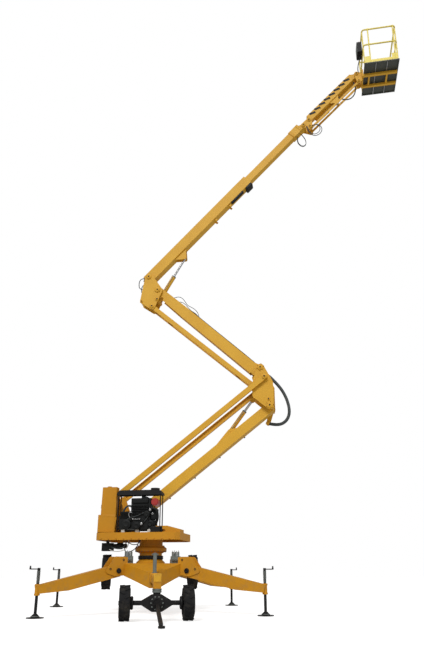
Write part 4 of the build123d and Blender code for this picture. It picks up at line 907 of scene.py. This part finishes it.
fit(pressedPanel, collars,
    [upperFrame @ moved(along, 0, collars["side"] * sign) @ turned(0 if sign > 0 else math.pi, "X")
     for along in collars["along"] for sign in (1, -1)])
print("stage: boom dressed")

# basket: control panel with levers, corner gussets, rail clamps, treads and the control cable
basket = {"left": jibTip.x + 0.167, "floor": jibTip.y - 0.110, "half": 0.535}
controls = {"face": (-0.121, 0.715, 0.23), "top": (-0.06, 0.869, 0.23), "stop": (0.095, 0, 0),
            "knobs": ((-0.09, -0.025), (-0.09, 0.025), (-0.03, -0.025), (-0.03, 0.025), (0.03, -0.025),
                      (0.03, 0.025))}


def basketSpot(reach, rise, side):  # from the floor's left edge
    return spot(basket["left"] + reach, basket["floor"] + rise, side)


boxFace = axesFrame(basketSpot(*controls["face"]), boomSide, -boomAlong)
boxTop = axesFrame(basketSpot(*controls["top"]), boomSide, worldZ)
controlPanel = {"name": "controlPanel", "size": (0.25, 0.28, 0.012), "press": (0.014, 0.005, 0.004),
                "body": "basket", "finish": "castGrey"}
fit(pressedPanel, controlPanel, [boxFace])
controlKnobs = {"name": "controlKnobs", "radius": 0.018, "height": 0.04, "sides": 18, "neck": 0.6,
                "body": "basket", "finish": "castGrey"}
fit(steppedBoss, controlKnobs, [boxTop @ moved(x, y, 0) for x, y in controls["knobs"]])
stopButton = {"name": "stopButton", "radius": 0.026, "height": 0.035, "sides": 24, "neck": 0.85,
              "body": "basket", "finish": "filterRed"}
fit(steppedBoss, stopButton, [boxTop @ moved(*controls["stop"])])
gussets = {"name": "cornerGussets", "size": (0.14, 0.20, 0.006), "press": (0.012, 0.002, 0.002),
           "body": "basket", "finish": "palePaint", "reaches": (0.10, 0.75), "rise": 0.11, "inset": 0.014}
gussetPlaces = []
for reach in gussets["reaches"]:
    middle = basketSpot(reach, gussets["rise"], 0)
    gussetPlaces += bothSides(middle, basket["half"] - gussets["inset"], boomAlong, boomSide)
fit(pressedPanel, gussets, gussetPlaces)
clamps = {"name": "railClamps", "inner": 0.0185, "outer": 0.025, "height": 0.05, "sides": 20,
          "body": "basket", "finish": "palePaint", "reaches": (0.159, 0.771), "rises": (0.590, 1.084),
          "inset": 0.019}
clampSide = basket["half"] - clamps["inset"]
fit(ringBand, clamps, [axesFrame(basketSpot(reach, rise, sign * clampSide), boomSide, boomAlong)
                       for reach in clamps["reaches"] for rise in clamps["rises"] for sign in (1, -1)])
treads = {"name": "floorTreads", "size": (0.80, 0.012, 0.004), "press": (0.003, 0.001, 0.001),
          "body": "basket", "finish": "deckGrating", "reach": 0.425, "rise": 0.002, "first": -0.48,
          "pitch": 0.06, "count": 17}
fit(pressedPanel, treads,
    [axesFrame(basketSpot(treads["reach"], treads["rise"], side), boomAlong, worldZ)
     for side in rowOf(treads)])
cable = {"diameter": 0.024, "length": 0.454, "bends": (  # reach, rise, side
    (-0.06, 0.560, 0.20), (-0.064, 0.49, 0.20), (-0.08, 0.41, 0.19), (-0.105, 0.33, 0.17),
    (-0.12, 0.25, 0.15), (-0.122, 0.18, 0.135), (-0.115, 0.12, 0.128))}
cableRoute = [basketSpot(*bend) for bend in cable["bends"]]
freeHose("controlCable", cableRoute, cable["diameter"], "basket")
joists = {"name": "floorJoists", "size": (0.29, 0.018, 0.006), "press": (0.004, 0.002, 0.002),
          "body": "basket", "finish": "bareSteel", "rise": -0.027, "places": (  # reach, side
              (0.287, -0.365), (0.287, 0.0), (0.287, 0.365), (0.563, -0.365), (0.563, 0.365))}
fit(pressedPanel, joists, [axesFrame(basketSpot(reach, joists["rise"], side), boomSide, -worldZ)
                           for reach, side in joists["places"]])
dropModel(boltModel)
print("stage: basket dressed")
